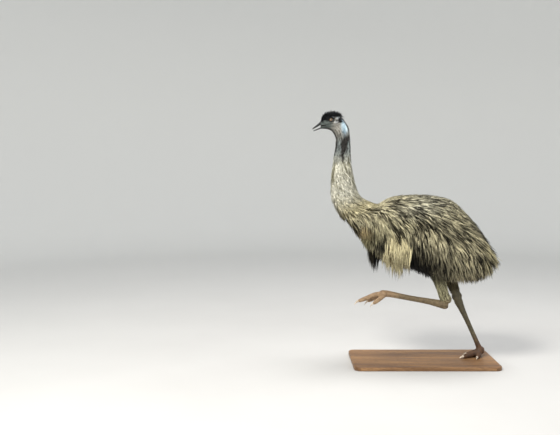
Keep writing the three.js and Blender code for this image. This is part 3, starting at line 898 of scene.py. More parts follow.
def smoothed(points, faces, rounds):
    # Moves each point halfway to the mean of its neighbours, round after round.
    edges = np.concatenate([faces[:, [0, 1]], faces[:, [1, 2]], faces[:, [2, 0]]])
    start, end = np.concatenate([edges, edges[:, ::-1]]).T
    lot = np.bincount(start, minlength=len(points))[:, None]
    for _ in range(rounds):
        total = np.stack([np.bincount(start, points[end, k], len(points)) for k in range(3)], -1)
        points = 0.5 * points + 0.5 * total / lot
    return points


def pointNormals(points, faces):
    # The sum of the normals of the triangles round each point, a large triangle counting for more.
    a, b, c = (points[faces[:, k]] for k in range(3))
    cross = np.cross(b - a, c - a)
    total = np.zeros_like(points)
    for k in range(3):
        for axis in range(3):
            total[:, axis] += np.bincount(faces[:, k], cross[:, axis], len(points))
    return unit(total)


def legShells(leg):
    # A closed tube along each part of the leg, and an ellipsoid where the toes meet.
    shells = []
    for name in partNames:
        last = len(leg[name]) - 1
        t, angle = ringGrid(0, last, legSkin["rows"] * (last + 1), legSkin["columns"])
        grow = 0.0
        if name == "shin":
            grow = -legSkin["shinInset"] * mm * fallStep(3.2, 4.2, t)
        if name in toeNames:
            grow = -legSkin["toeTaper"] * mm * smoothStep(last - 0.7, last, t)
        shells.append(closedGrid(limbSurface(leg[name], leg["across"], t, angle, grow)))
    centre, radii = leg["joint"]
    a, b = ringGrid(0.05, math.pi - 0.05, 16, 24)
    ball = np.stack([np.sin(a) * np.cos(b), np.sin(a) * np.sin(b), np.cos(a)], -1) * radii + centre
    shells.append(closedGrid(ball * mm))
    return shells


def legCoordinates(leg, points):
    # For each point the nearest place on the leg's paths, as a share of the part's size there: length
    # along it in mm, angle from the front, and which part it is.
    count = len(points)
    best = np.full(count, 1e9)
    along, angle, part = np.zeros(count), np.zeros(count), np.zeros(count, int)
    for number, name in enumerate(partNames):
        knots = leg[name]
        t = np.linspace(0, len(knots) - 1, 16 * len(knots))
        middle, width, depth, half, deep, ahead = limbFrames(knots, leg["across"], t)
        run = np.concatenate([[0], np.cumsum(np.linalg.norm(np.diff(middle, axis=0), axis=1))])
        away = np.linalg.norm(points[:, None] - middle[None], axis=-1) / np.sqrt(half * deep)[None]
        near = away.argmin(1)
        away = away[np.arange(count), near]
        offset = points - middle[near]
        aside = dot(offset, width[near])[:, 0] / half[near]
        front = -dot(offset, depth[near])[:, 0] / deep[near]
        here = away < best
        best[here] = away[here]
        along[here] = ((run[near] + dot(offset, ahead[near])[:, 0]) / mm)[here]
        angle[here] = np.arctan2(aside, front)[here]
        part[here] = number
    return along, angle, part


def legSkinParts(side):
    # One leg's surface with transverse scutes down its front and toes, pads beneath and tendon grooves.
    leg = legShape[side]
    points, faces = looseMesh(legShells(leg), skinShape["legVoxel"] * mm)
    points = smoothed(points, faces, skinShape["legSmoothing"])
    along, angle, part = legCoordinates(leg, points)
    front = smoothStep(0.15, 0.6, np.cos(angle))
    behind = smoothStep(0.2, 0.7, -np.cos(angle))
    shank = part == 1
    toe = part >= 2
    period = np.where(toe, legSkin["toeScute"], legSkin["scute"])
    phase = (along / period) % 1
    height = legSkin["scuteHeight"] * (1 - (2 * phase - 1) ** 4) * front * (part > 0)
    height += legSkin["pad"] * np.sin(math.pi * along / legSkin["padLength"]) ** 2 * behind * toe
    height += hump(np.abs(np.degrees(angle)), *legSkin["tendon"]) * shank
    height += legSkin["wrinkle"] * np.sin(along * 1.1) * shank * fallStep(14, 40, along) * (1 - front)
    points = points + pointNormals(points, faces) * (height * mm)[:, None]
    points[:, 2] = np.maximum(points[:, 2], leg["floor"] * mm)
    # on the far leg these tones are painted shade, with painted reddish bounced light on its foot
    tints = plainTints(leg["tones"][0], len(points))
    layer(tints, leg["tones"][1], (part == 0) * fallStep(150, 200, along) * 0.8)
    low = shank * smoothStep(0.62, 0.95, along / along[shank].max())
    layer(tints, leg["tones"][2], np.where(toe, 1.0, low))
    data = np.stack([along / period, np.degrees(angle) / 90, np.where(part > 0, front, 0.0)], -1)
    return points, faces, tints, data


def buildSkin():
    # One mesh of the body, the rims of the lids and the legs, each with its tints, leg data and material.
    verts, faces, tints, kind = bodySkin()
    print("body skin:", len(faces), "triangles")
    pieces = [(verts, faces, tints, np.zeros((len(verts), 3)), kind)]
    for side, _ in sides:
        ring, ringFaces = tubeRing(*lidPath(side))
        count = len(ring)
        pieces.append((ring, ringFaces, plainTints("lids", count), np.zeros((count, 3)), np.zeros(count)))
        verts, faces, tints, data = legSkinParts(side)
        print("leg skin:", len(faces), "triangles")
        pieces.append((verts, faces, tints, data, np.full(len(verts), 2)))
    verts, faces = joinShells([piece[:2] for piece in pieces])
    skin = makeMesh("skin", verts, faces)
    setTints(skin, [np.concatenate([piece[2][k] for piece in pieces]) for k in range(2)])
    setData(skin, "limbPlace", np.concatenate([piece[3] for piece in pieces]))
    kind = np.concatenate([piece[4] for piece in pieces])
    for material in (faceSkin, plumeSkin, scaleSkin):
        skin.data.materials.append(material)
    skin.data.polygons.foreach_set("material_index", kind[cornerPoints(skin)[::3]].astype(np.int32))
    flesh = ["head", "neck_upper", "neck_lower", "breast", "trunk", "tail"]
    for _, word in sides:
        parts = ("thigh", "shin", "shank", "foot", "toe_middle", "toe_inner", "toe_outer")
        flesh += [f"{part}_{word}" for part in parts]
    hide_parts(*flesh)
    print("skin:", len(faces), "triangles")


def skinToneGroup():
    # Colour of bare skin: the two tints mixed by two sizes of noise, painted shade in the grooves between
    # the cells, and a height of cells and wrinkles.
    group, inside, outside = newGroup("skinTone", {
        "Light": ("Color", None),
        "Dark": ("Color", None),
        "Place": ("Vector", None),
        "Cell size": ("Float", 700.0),
        "Share": ("Float", 0.6),
    }, {"Color": "Color", "Height": "Float", "Rough": "Float"})
    place = inside["Place"]
    broad = noise(group, place, 60.0, 4.0)
    fine = noise(group, place, 420.0, 3.0)
    cells = addNode(group, "TexVoronoi", {"Vector": place, "Scale": inside["Cell size"]},
                    feature="DISTANCE_TO_EDGE")
    edge = mapRange(group, cells.outputs["Distance"], 0.0, 0.12)
    waves = times(group, minus(group, broad, 0.5), 1.5)
    grains = times(group, minus(group, fine, 0.5), 0.8)
    share = plus(group, plus(group, inside["Share"], waves), grains, True)
    colour = mixColour(group, share, inside["Dark"], inside["Light"])
    # painted shade: the grooves between the cells drawn towards the dark tint
    grooveShade = times(group, minus(group, 1.0, edge), 0.45)
    setOutputs(group, outside,
               Color=mixColour(group, grooveShade, colour, inside["Dark"]),
               Height=plus(group, times(group, edge, 0.6), fine),
               Rough=mapRange(group, broad, 0.3, 0.7, 0.5, 0.75))
    return group


skinTone = skinToneGroup()
# each skin's cells to a metre, its share of the pale tint and the depth of its relief in metres
skinKinds = {
    "bareSkin": (620.0, 0.55, 0.0006),
    # the skin under the coat shows almost only its dark tint: painted shade in the gaps between the strands
    "downySkin": (300.0, 0.05, 0.001),
    "scaledLegs": (330.0, 0.5, 0.0009),
}


def addPlates(tree, colour, height):
    # Broad plates down the front of a leg, parted by grooves darkened as painted shade. They come from
    # the length along the leg, whose whole numbers are the grooves, and from the share that the front has
    # of the point.
    along, _, front = split(tree, attributeOf(tree, "limbPlace"))
    wobble = noise(tree, objectPlace(tree), 90.0, 1.0)
    row = plus(tree, along, times(tree, wobble, 0.35))
    phase = calculate(tree, "ABSOLUTE", minus(tree, calculate(tree, "FRACT", row), 0.5))
    plate = mapRange(tree, phase, 0.5, 0.38)
    # painted shade in the grooves between the plates
    grooveShade = times(tree, times(tree, minus(tree, 1.0, plate), front), 0.75)
    colour = mixColour(tree, grooveShade, colour, attributeOf(tree, "darkTint", "Color"))
    height = addNode(tree, "Mix", {0: front, 2: height, 3: times(tree, plate, 2.0)}).outputs[0]
    return colour, height


def skinMaterial(name, plated=False):
    # Skin by the shared tone, with plates over it on the legs.
    cellSize, share, depth = skinKinds[name]
    material, tree, shader = newMaterial(name, Roughness=0.6)
    tone = useTints(tree, skinTone, {"Place": objectPlace(tree), "Cell size": cellSize, "Share": share})
    colour, height = tone["Color"], tone["Height"]
    if plated:
        colour, height = addPlates(tree, colour, height)
    dress(tree, shader, colour, tone["Rough"], height, 0.6, depth)
    return material


faceSkin = skinMaterial("bareSkin")
plumeSkin = skinMaterial("downySkin")
scaleSkin = skinMaterial("scaledLegs", True)
buildSkin()


# horn: the two halves of the bill and the claws
billShape = {
    # sections from the root to the tip: y z of the middle, half width, half height
    "upper": ((-612, 1443, 15, 8), (-622.3, 1440.5, 19.5, 11), (-633, 1432.5, 16.5, 9.5),
              (-646, 1423.5, 13, 7.5), (-659, 1415, 10, 5.5), (-668, 1409, 6.5, 3.6), (-672, 1406, 2.2, 1.2)),
    "lower": ((-612, 1414, 13, 4), (-622.3, 1412.6, 17.5, 4.4), (-636, 1407.4, 14, 3.8),
              (-650, 1402, 10.5, 3.2), (-660, 1398, 7.5, 2.6), (-666, 1395.5, 2.6, 1.2)),
    "squareness": 2.2,
    "mouthSide": {1: 0.8, -1: 1.0},        # height of the side towards the mouth, of the upper and lower half
    "culmen": (0, 3.4, 1.5),               # across the bill: middle, width, height
    "culmenSides": (8, 4, -0.8),
    "keel": (0, 3, -0.8),
    "nostril": (-643, 1427.5, 6.5, 2.6),   # y z of its middle, half length, half height
    "nostrilDepth": 3.4,
    "nostrilLean": -0.68,
    "nostrilRim": (1.25, 0.25, -0.7),
}
clawShape = {
    "middle": 28,         # lengths
    "inner": 22,
    "outer": 20,
    "root": 0.82,         # thickness at the root as a share of the toe's
    "narrow": 0.85,
    "flat": 0.7,          # height of the under side as a share of the upper one
    "inset": 6,           # how far the claw starts inside the toe
    "rows": 22,
    "columns": 20,
}
# dark and pale tone, stretch along the growth, lines to a metre, roughness
hornKinds = {
    "billHorn": ((5, 6, 6), (30, 34, 33), (1, 0.25, 1), 260.0, 0.38),
    "clawHorn": ((176, 158, 136), (240, 230, 214), (1, 0.3, 1), 200.0, 0.42),
}


def billHalf(knots, ridge):
    # Sections across the bill: x = half * sin a, z = middle + high * cos a, each to the power that the
    # squareness asks for. The upper half has a rounded culmen and a nostril sunk into each side, the
    # lower one a low keel.
    t, a = ringGrid(0, len(knots) - 1, 90, 72)
    k = splineAt(knots, t)
    power = 2.0 / billShape["squareness"]
    x = k[..., 2] * np.sign(np.sin(a)) * np.abs(np.sin(a)) ** power
    up = np.sign(np.cos(a)) * np.abs(np.cos(a)) ** power
    z = k[..., 3] * up * np.where(up * ridge < 0, billShape["mouthSide"][ridge], 1.0)
    share = t / (len(knots) - 1)
    if ridge > 0:
        top = smoothStep(0, 0.5, up)
        z = z + hump(x, *billShape["culmen"]) * top * (1 - share) ** 0.4
        z = z + hump(np.abs(x), *billShape["culmenSides"]) * top * fallStep(0.45, 0.8, share)
        middleY, middleZ, long, high = billShape["nostril"]
        ahead = k[..., 0] - middleY
        above = k[..., 1] + z - middleZ - ahead * billShape["nostrilLean"]
        r = np.hypot(ahead / long, above / high)
        sink = billShape["nostrilDepth"] * fallStep(0.45, 1.0, r) + hump(r, *billShape["nostrilRim"])
        x = x - np.sign(x) * sink
    else:
        z = z + hump(x, *billShape["keel"]) * (up < 0) * (1 - share)
    return closedGrid(np.stack([x, k[..., 0], k[..., 1] + z], -1) * mm)


def hornMaterial(name):
    # Horn: dark and pale tones mixed by noise drawn out along the growth, with faint lines as relief.
    dark, pale, stretch, scale, rough = hornKinds[name]
    material, tree, shader = newMaterial(name, Roughness=rough, Coat_Weight=0.18, Coat_Roughness=0.25)
    place = objectPlace(tree)
    lines = noise(tree, addNode(tree, "Mapping", {"Vector": place, "Scale": stretch}).outputs[0], scale, 4.0)
    cloud = noise(tree, place, 70.0, 3.0)
    share = times(tree, mapRange(tree, lines, 0.35, 0.65), mapRange(tree, cloud, 0.35, 0.65, 0.2, 1.0))
    gloss = mapRange(tree, cloud, 0.3, 0.7, rough * 0.7, rough * 1.3)
    dress(tree, shader, mixColour(tree, share, paint(*dark), paint(*pale)), gloss, lines, 0.35, 0.0005)
    return material


billHorn = hornMaterial("billHorn")
for half, ridge in (("upper", 1), ("lower", -1)):
    bill = makeMesh("bill" + half.capitalize(), *billHalf(billShape[half], ridge))
    bill.data.materials.append(billHorn)
    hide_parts("bill_" + half)


def clawShell(leg, toe):
    # A claw past a toe's end: along the toe's line, sinking with the square of the way, its radius the
    # toe's end times (1 - way^1.6)^0.75, flat beneath.
    knots = np.array(leg[toe], float)
    last = np.array([len(knots) - 1.0])
    _, width, depth, half, deep, ahead = (found[0] for found in limbFrames(knots, leg["across"], last))
    way, a = ringGrid(0, 1, clawShape["rows"], clawShape["columns"])
    length, inset = clawShape[toe] * mm, clawShape["inset"] * mm
    run = ((length + inset) * way - inset)[..., None]
    sink = np.array([0, 0, leg["clawDrop"] * mm]) * np.clip(run / length, 0, 1) ** 2
    size = clawShape["root"] * np.maximum(1 - way ** 1.6, 0.004) ** 0.75
    high = deep * size * np.cos(a) * np.where(np.cos(a) < 0, clawShape["flat"], 1.0)
    wide = half * size * np.sin(a) * clawShape["narrow"]
    points = knots[-1, :3] * mm + ahead * run - sink - depth * high[..., None] + width * wide[..., None]
    points[..., 2] = np.maximum(points[..., 2], leg["floor"] * mm)
    return closedGrid(points)


def buildClaws():
    # All six claws as one piece.
    shells, nodes = [], []
    for side, word in sides:
        for toe in toeNames:
            shells.append(clawShell(legShape[side], toe))
            nodes.append(f"claw_{toe}_{word}")
    claws = makeMesh("claws", *joinShells(shells))
    claws.data.materials.append(hornMaterial("clawHorn"))
    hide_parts(*nodes)


buildClaws()

# the eye's rings, laid one over the other: the distances from the axis in mm over which each fades, its
# share before and after them, and its colour in linear light
eyeRings = {
    "innerIris": (4.0, 5.4, 0.75, 0.0, linear((58, 34, 14))),
    "white": (7.4, 8.8, 0.0, 1.0, linear((26, 17, 11))),
    "pupil": (3.8, 4.1, 1.0, 0.0, (0.002, 0.002, 0.002)),
}
irisTones = ((66, 42, 18), (160, 122, 70))


def irisMaterial():
    # The eye by the distance from its axis in mm: pupil, fibrous iris, dark rim, dark white of the eye.
    material, tree, shader = newMaterial("eyeball", Roughness=0.12, Coat_Weight=1.0, Coat_Roughness=0.03)
    away, cos, sin = split(tree, attributeOf(tree, "disc"))
    spokes = combine(tree, times(tree, cos, 9.0), times(tree, sin, 9.0), times(tree, away, 0.25))
    fibres = mapRange(tree, noise(tree, spokes, 1.6, 4.0), 0.35, 0.65)
    tone = mixColour(tree, fibres, *(paint(*colour) for colour in irisTones))
    for low, high, before, after, colour in eyeRings.values():
        tone = mixColour(tree, mapRange(tree, away, low, high, before, after), tone, (*colour, 1))
    dress(tree, shader, tone)
    return material


def buildEyes():
    # A ball with a bulging cornea: radius + cornea * cos^2, which is 0 from the cornea's edge on. Each
    # point keeps its distance from the axis and its direction round it for the material.
    material = irisMaterial()
    away, turn = ringGrid(0.02, math.pi - 0.02, 44, 48)
    share = np.clip(away / math.radians(eyeShape["corneaEdge"]), 0, 1)
    radius = eyeShape["radius"] + eyeShape["cornea"] * np.cos(share * math.pi / 2) ** 2
    disc = np.stack([away * eyeShape["radius"], np.cos(turn), np.sin(turn)], -1).reshape(-1, 3)
    for side, word in sides:
        mirror = np.array([side, 1, 1])
        axis = unit(mirror * eyeShape["axis"])
        right = unit(np.cross(axis, [0, 0, 1]))
        upward = np.cross(right, axis)
        around = right * np.cos(turn)[..., None] + upward * np.sin(turn)[..., None]
        points = (axis * np.cos(away)[..., None] + around * np.sin(away)[..., None]) * radius[..., None]
        verts, faces = closedGrid((points + mirror * eyeShape["at"]) * mm)
        eye = makeMesh("eye" + word.capitalize(), verts, faces)
        setData(eye, "disc", np.concatenate([disc, [[0, 0, 0]], [[45, 0, 0]]]))
        eye.data.materials.append(material)
        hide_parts("eye_" + word)


buildEyes()

# the oak board, in metres
boardShape = {
    "edge": 0.23,         # from the middle to the first stave's edge
    "stave": 0.092,       # width of a stave
    "inner": 0.225,       # no joint is drawn beyond this
    "stretch": 0.07,      # how far the rings are drawn out along the grain
    "dark": (104, 72, 44),
    "pale": (166, 126, 84),
    "pore": (72, 48, 29),
    "joint": (44, 30, 20),
}


def woodMaterial():
    # Oak staves along the board: each stave's own tone from its whole number across, rings from noise
    # drawn out along the grain, fine pores and dark joints.
    material, tree, shader = newMaterial("oakBoard", Roughness=0.5)
    x, y, z = split(tree, objectPlace(tree))
    across = times(tree, plus(tree, x, boardShape["edge"]), 1 / boardShape["stave"])
    stave = calculate(tree, "FLOOR", across)
    shifted = plus(tree, times(tree, stave, 3.7), z)
    grain = combine(tree, x, times(tree, y, boardShape["stretch"]), shifted)
    rings = noise(tree, grain, 42.0, 5.0, 0.6)
    pores = noise(tree, grain, 420.0, 2.0)
    chance = addNode(tree, "TexWhiteNoise", {"W": stave}, noise_dimensions="1D").outputs["Value"]
    share = plus(tree, mapRange(tree, rings, 0.35, 0.65, 0.0, 0.75),
                 mapRange(tree, chance, 0.0, 1.0, -0.1, 0.3), True)
    fromMiddle = calculate(tree, "ABSOLUTE", minus(tree, calculate(tree, "FRACT", across), 0.5))
    inner = calculate(tree, "LESS_THAN", calculate(tree, "ABSOLUTE", x), boardShape["inner"])
    seam = times(tree, mapRange(tree, fromMiddle, 0.488, 0.497), inner)
    tone = mixColour(tree, share, paint(*boardShape["dark"]), paint(*boardShape["pale"]))
    tone = mixColour(tree, mapRange(tree, pores, 0.52, 0.62, 0.0, 0.5), tone, paint(*boardShape["pore"]))
    tone = mixColour(tree, seam, tone, paint(*boardShape["joint"]))
    rough = mapRange(tree, rings, 0.3, 0.7, 0.42, 0.6)
    dress(tree, shader, tone, rough, minus(tree, pores, seam), 0.3, 0.0006)
    return material


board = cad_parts["stand_base"]
board.data.materials.clear()
board.data.materials.append(woodMaterial())
print("horn, eyes and board made")

# how the strands grow and differ from each other
growth = {
    "widest": 238,             # strands that stand farther out than this from the middle are pressed in
    "pressed": 0.35,           # to this share of what they stand out
    "seen": 0.7,               # a strand takes its markings from this share of its way
    "sink": 0.6,               # how steeply a strand may come down
    "closeIn": 0.8,            # share of their spread that a lock's strands lose by its tip
    "offset": 0.12,            # random shares: of the place in the lock, of the lock's and the strand's tone
    "lockTone": 0.13,
    "strandTone": 0.12,
    "lift": (-0.3, 1.0, 0.45),   # lowest and highest, of this share of the spread
    "ownLength": (0.86, 1.0),
    "ownWidth": (0.7, 1.25),
    "looseTurn": 2.2,          # how much more a loose lock turns aside, and how high it stands
    "looseHeight": 1.12,
    "toneWander": 0.06,        # slow changes over the body of the tone and of the turn
    "turnWander": 0.14,
    "streakLength": 12,        # how much farther a streak reaches along the lie than across
    "paleTones": (0.65, 1.0),
    "darkTones": (0.0, 0.25),
    "patch": 0.003,            # size of a strand's patch on the bake map
    "patchShift": 0.0015,
}


def scatter(count, weight):
    # Even roots over the skin: the R2 sequence, whose steps are powers of the plastic number, is carried
    # through the running totals of area times weight, first along the body and then round it.
    cells = areaTable * weight
    perRow = np.cumsum(cells.sum(1))
    plastic = 1.32471795724474602596
    k = np.arange(1, count + 1)
    first, second = (0.5 + k / plastic) % 1, (0.5 + k / plastic ** 2) % 1
    row = np.searchsorted(perRow, first * perRow[-1])
    running = np.cumsum(cells[row], 1)
    column = (running < (second * running[:, -1])[:, None]).sum(1)
    column = np.minimum(column, len(tableAngles) - 1)
    place = tablePlaces[row] + draw.uniform(-0.5, 0.5, count) * tableStep["place"]
    angle = tableAngles[column] + draw.uniform(-0.5, 0.5, count) * tableStep["angle"]
    return np.clip(place, 0, lastPlace - 0.01), angle % (2 * math.pi)


# degrees below level at which the plumes lie, by -u: 1 on the belly line, 0 at the side, -1 on the back
lieOfPlumes = {
    "at": (-1, -0.85, -0.6, 0, 0.5, 1),
    "below": (18, 30, 38, 52, 68, 80),
    "thigh": 80,
    "neckBack": 0.34,     # how far the neck's plumes turn towards the back
}


def combDirection(place, angle, points):
    # The way a strand lies: down the neck along the skin, then back and down at an angle below level that
    # grows from the back line to the belly line, and nearly straight down over the thighs.
    u = np.cos(angle)
    along = unit(lookUp(alongTable, place, angle))
    below = np.radians(np.interp(-u, lieOfPlumes["at"], lieOfPlumes["below"]))
    slope = np.clip(np.arctan2(-along[:, 2], np.maximum(along[:, 1], 0.02)), 0, math.radians(86))
    below = np.maximum(below, slope * smoothStep(11.5, 13.5, place) * smoothStep(-0.4, 0.3, u))
    below = below + (math.radians(lieOfPlumes["thigh"]) - below) * 0.9 * thighMask(points)
    swept = np.stack([np.zeros_like(below), np.cos(below), -np.sin(below)], -1)
    neck = fallStep(8.6, 10.8, place + 1.2 * np.minimum(u, 0.2))[:, None]
    backward = band(place, (5.6, 7.0), (9.0, 10.4))[:, None] * np.array([0, lieOfPlumes["neckBack"], 0])
    return unit(neck * (along + backward) + (1 - neck) * swept)


def growStrands(place, angle, length, turn, depthShare, style, comb):
    # Walks each strand from its root in equal steps. A step follows the comb direction, turned by the
    # strand's own angle and slid along the skin where it would run in, plus a lift towards the height
    # that the strand should have there: the coat's depth times (share along)^rise. Past the hem, where the
    # skin falls away, the strand hangs free. Also gives the place, angle and point where it is seen.
    rings = style["rings"]
    point = lookUp(skinTable, place, angle)
    points, normals = [point], [lookUp(normalTable, place, angle)]
    step = (length / rings)[:, None]
    for k in range(rings):
        normal = unit(lookUp(normalTable, place, angle))
        along = lookUp(alongTable, place, angle)
        around = lookUp(roundTable, place, angle)
        way = comb(place, angle, point)
        way = unit(way * np.cos(turn)[:, None] + np.cross(normal, way) * np.sin(turn)[:, None])
        into = dot(way, normal)
        way = unit(way - normal * np.minimum(into, 0))
        depth = np.maximum(lookUp(depthTable, place, angle), 0)
        if "height" in style:
            depth = style["height"] * mm
        wanted = depth * depthShare * ((k + 1) / rings) ** style["rise"]
        above = dot(point - lookUp(skinTable, place, angle), normal)
        lowest = np.where(into > 0.2, 0, -growth["sink"])
        move = unit(way + normal * np.clip((wanted - above) / step, lowest, style["stand"])) * step
        point = point + move
        # the move in steps of place and angle, from the two equations for its shares of along and around
        ee, er, rr = (dot(a, b)[:, 0] for a, b in ((along, along), (along, around), (around, around)))
        me, mr = dot(move, along)[:, 0], dot(move, around)[:, 0]
        lot = np.maximum(ee * rr - er * er, 1e-12)
        place = np.clip(place + (me * rr - mr * er) / lot, 0, lastPlace - 0.01)
        angle = angle + np.clip((mr * ee - me * er) / lot, -0.5, 0.5)
        points.append(point)
        normals.append(normal)
        if k == round(rings * growth["seen"]) - 1:
            seen = (place, angle, point)
    return np.stack(points, 1), np.stack(normals, 1), seen


def widthAlong(share):
    # A strand's width: narrow at the root, widest a third of the way, drawn to a fine point.
    return (0.45 + 0.55 * np.minimum(share / 0.3, 1)) * (1 - share ** 2.4)


def prisms(points, normals, width, thick):
    # Closed three-sided strands: at each ring a left, a right and a ridge corner, and one point at the tip.
    count, rings = points.shape[0], points.shape[1] - 1
    tangent = unit(np.gradient(points, axis=1))
    side = unit(np.cross(tangent, normals))
    up = np.cross(side, tangent)
    share = np.arange(rings) / rings
    half = side[:, :-1] * (width[:, None] / 2 * widthAlong(share))[..., None]
    ridge = up[:, :-1] * (thick[:, None] * widthAlong(share))[..., None]
    start = points[:, :-1]
    ring = np.stack([start - half, start + half, start + ridge], 2)
    verts = np.concatenate([ring.reshape(count, rings * 3, 3), points[:, -1:]], 1)
    base = [[0, 1, 2]]
    edges = ((0, 1), (1, 2), (2, 0))
    tip = 3 * rings
    for k in range(0, tip - 3, 3):
        for a, b in edges:
            base += [[k + a, k + a + 3, k + b + 3], [k + a, k + b + 3, k + b]]
    base += [[tip - 3 + a, tip, tip - 3 + b] for a, b in edges]
    faces = (np.array(base)[None] + (np.arange(count) * (tip + 1))[:, None, None]).reshape(-1, 3)
    along = np.append(np.repeat(share, 3), 1.0)
    across = np.append(np.tile([0.0, 1.0, 0.5], rings), 0.5)
    return verts.reshape(-1, 3), faces, along, across


coatTotal = []


def tintedCoat(name, parts, material, nodes=()):
    # One coat piece from strands: their mesh, tints, strand data and the patches of the bake map.
    # parts holds points, normals, width, thick, chance, tints and the root's place on the skin's unwrap.
    points, normals, width, thick, chance, tints, roots = parts
    verts, faces, along, across = prisms(points, normals, width, thick)
    each = len(along)
    piece = makeMesh(name, verts, faces)
    setTints(piece, [np.repeat(tint, each, 0) for tint in tints])
    along, across = np.tile(along, len(points)), np.tile(across, len(points))
    setData(piece, "strand", np.stack([along, np.repeat(chance, each), across], -1))
    patch = growth["patch"]
    low, high = roots.min(0), roots.max(0)
    spread = (roots - low) / np.maximum(high - low, 1e-6) * 0.99 + patch
    perPoint = np.repeat(spread, each, 0) + np.stack([across, along], -1) * patch
    bakeMap = piece.data.uv_layers.new(name="OFBake")
    bakeMap.data.foreach_set("uv", perPoint[cornerPoints(piece)].astype(np.float32).ravel())
    piece.data.materials.append(material)
    if nodes:
        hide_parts(*nodes)
    coatTotal.append(len(faces))
    print(name, len(faces), "triangles,", sum(coatTotal), "so far")


def broadWaves(points, seed):
    # A slow wander over the body between -1 and 1: the mean of four sines with their own directions.
    own = np.random.default_rng(seed)
    total = np.zeros(len(points))
    for _ in range(4):
        way = unit(own.normal(size=3)) * own.uniform(14, 34)
        total += np.sin(points @ way + own.uniform(0, 6.28))
    return total / 4


def streaks(roots, way, side, style):
    # Gathers locks into long narrow streaks and gives each lock its streak's tone, 0 dark to 1 pale. A
    # lock joins the seed that is nearest when distances along the lie are divided by the streak's length.
    count = len(roots)
    seeds = draw.choice(count, max(int(count / style["group"]), 2), replace=False)
    pale = draw.random(len(seeds)) < style["pale"]
    tone = np.where(pale, draw.uniform(*growth["paleTones"], len(seeds)),
                    draw.uniform(*growth["darkTones"], len(seeds)))
    offset = roots[:, None] - roots[seeds][None]
    along = np.einsum("ijk,ik->ij", offset, way) / growth["streakLength"]
    across = np.einsum("ijk,ik->ij", offset, side)
    away = along ** 2 + across ** 2 + 0.004 * (offset ** 2).sum(-1)
    return tone[away.argmin(1)]


def lockLengths(place, angle, roots, style):
    # Lengths of the locks: the style's length, ragged, and where a lock hangs it ends near the hem, the
    # belly line's height. The pale flank plumes stop short of the black ones behind them.
    count = len(place)
    ragged = style["ragged"]
    length = style["length"] * mm * draw.uniform(1 - ragged, 1 + 0.6 * ragged, count)
    if "hem" not in style:
        return length
    short = style["short"] * band(roots[:, 1] / mm, (-150, -80), (70, 190))
    short = short * smoothStep(-0.72, -0.55, np.cos(angle))
    lowest = (splineAt(stationKnots, place)[:, 3] + short + draw.uniform(*style["hem"], count)) * mm
    hangs = -combDirection(place, angle, roots)[:, 2] > 0.6
    reach = np.maximum((roots[:, 2] - lowest) * 1.12, style["length"] * mm * 0.35)
    return np.where(hangs, np.minimum(length, reach), length)


def lockStrands(place, angle, style, comb=combDirection):
    # Locks of several strands each: the strands start side by side, follow the lock and close in on its
    # tip. Strand j stands off by spread * (j's place in the lock) * (1 - closeIn * share along). Dark locks
    # lie deeper than pale ones, a few loose ones stand proud of the rest, and what is beyond the coat's
    # widest is pressed in.
    each, spread = style["each"], style["spread"] * mm
    count = len(place)
    roots = lookUp(skinTable, place, angle)
    length = lockLengths(place, angle, roots, style)
    way = combDirection(place, angle, roots)
    streak = streaks(roots, way, unit(np.cross(lookUp(normalTable, place, angle), way)), style)
    streak = np.clip(streak + growth["toneWander"] * broadWaves(roots, 9), 0, 1)
    loose = draw.random(count) < style["loose"]
    turn = draw.normal(0, style["turn"], count) * np.where(loose, growth["looseTurn"], 1)
    turn = turn + growth["turnWander"] * broadWaves(roots, 5)
    sunk = style["layers"] * draw.random(count) * (1.15 - 0.6 * streak)
    depthShare = np.where(loose, growth["looseHeight"], 1 - sunk)[:, None]
    if "tall" in style:
        low, high = style["tall"]
        depthShare = (low + (high - low) * draw.random(count) ** 2)[:, None]
    points, normals, seen = growStrands(place, angle, length, turn, depthShare, style, comb)
    side = unit(np.cross(unit(np.gradient(points, axis=1)), normals))
    share = np.linspace(0, 1, points.shape[1])[None, :, None]
    lowest, highest, ofSpread = growth["lift"]
    lot = []
    for spot in (np.arange(each) - (each - 1) / 2) / max(each - 1, 1):
        off = (spot + draw.normal(0, growth["offset"], count))[:, None, None] * spread
        bow = draw.normal(0, style["bow"] * mm, (count, 1, 1)) * np.sin(math.pi * share)
        lifted = draw.uniform(lowest, highest, count)[:, None, None] * spread * ofSpread * share
        own = draw.uniform(*growth["ownLength"], count)[:, None, None]
        shifted = points + side * (off * (1 - growth["closeIn"] * share) + bow) + normals * lifted
        lot.append(shifted[:, :1] + (shifted - shifted[:, :1]) * own)
    points = np.stack(lot, 1).reshape(count * each, -1, 3)
    wide, pressed = np.abs(points[..., 0]), growth["pressed"]
    inside = np.minimum(wide, (1 - pressed) * growth["widest"] * mm + pressed * wide)
    points[..., 0] = np.sign(points[..., 0]) * inside
    lockTone = streak + draw.normal(0, growth["lockTone"], count)
    chance = np.repeat(lockTone, each) + draw.normal(0, growth["strandTone"], count * each)
    tints = [np.repeat(tint, each, 0) for tint in markingsAndShade(*seen)]
    width = style["width"] * mm * draw.uniform(*growth["ownWidth"], count * each)
    roots = np.stack([place / lastPlace, (angle / (2 * math.pi) + 0.5) % 1], -1)
    roots = np.repeat(roots, each, 0)
    shift = growth["patchShift"]
    roots = roots + draw.uniform(-shift, shift, roots.shape)
    thick = width * style["ridge"]
    return [points, np.repeat(normals, each, 0), width, thick, np.clip(chance, 0, 1), tints, roots]


def tableWeight(place, angle=None, fade=0.25, edge=4):
    # 1 between two places, and where given between two angles in degrees from the back line.
    first, last = place
    weight = band(gridPlaces, (first - fade, first + fade), (last - fade, last + fade))
    if angle is None:
        return weight
    low, high = angle
    fromTop = np.degrees(np.minimum(gridAngles, 2 * math.pi - gridAngles))
    return weight * band(fromTop, (low - edge, low + edge), (high - edge, high + edge))


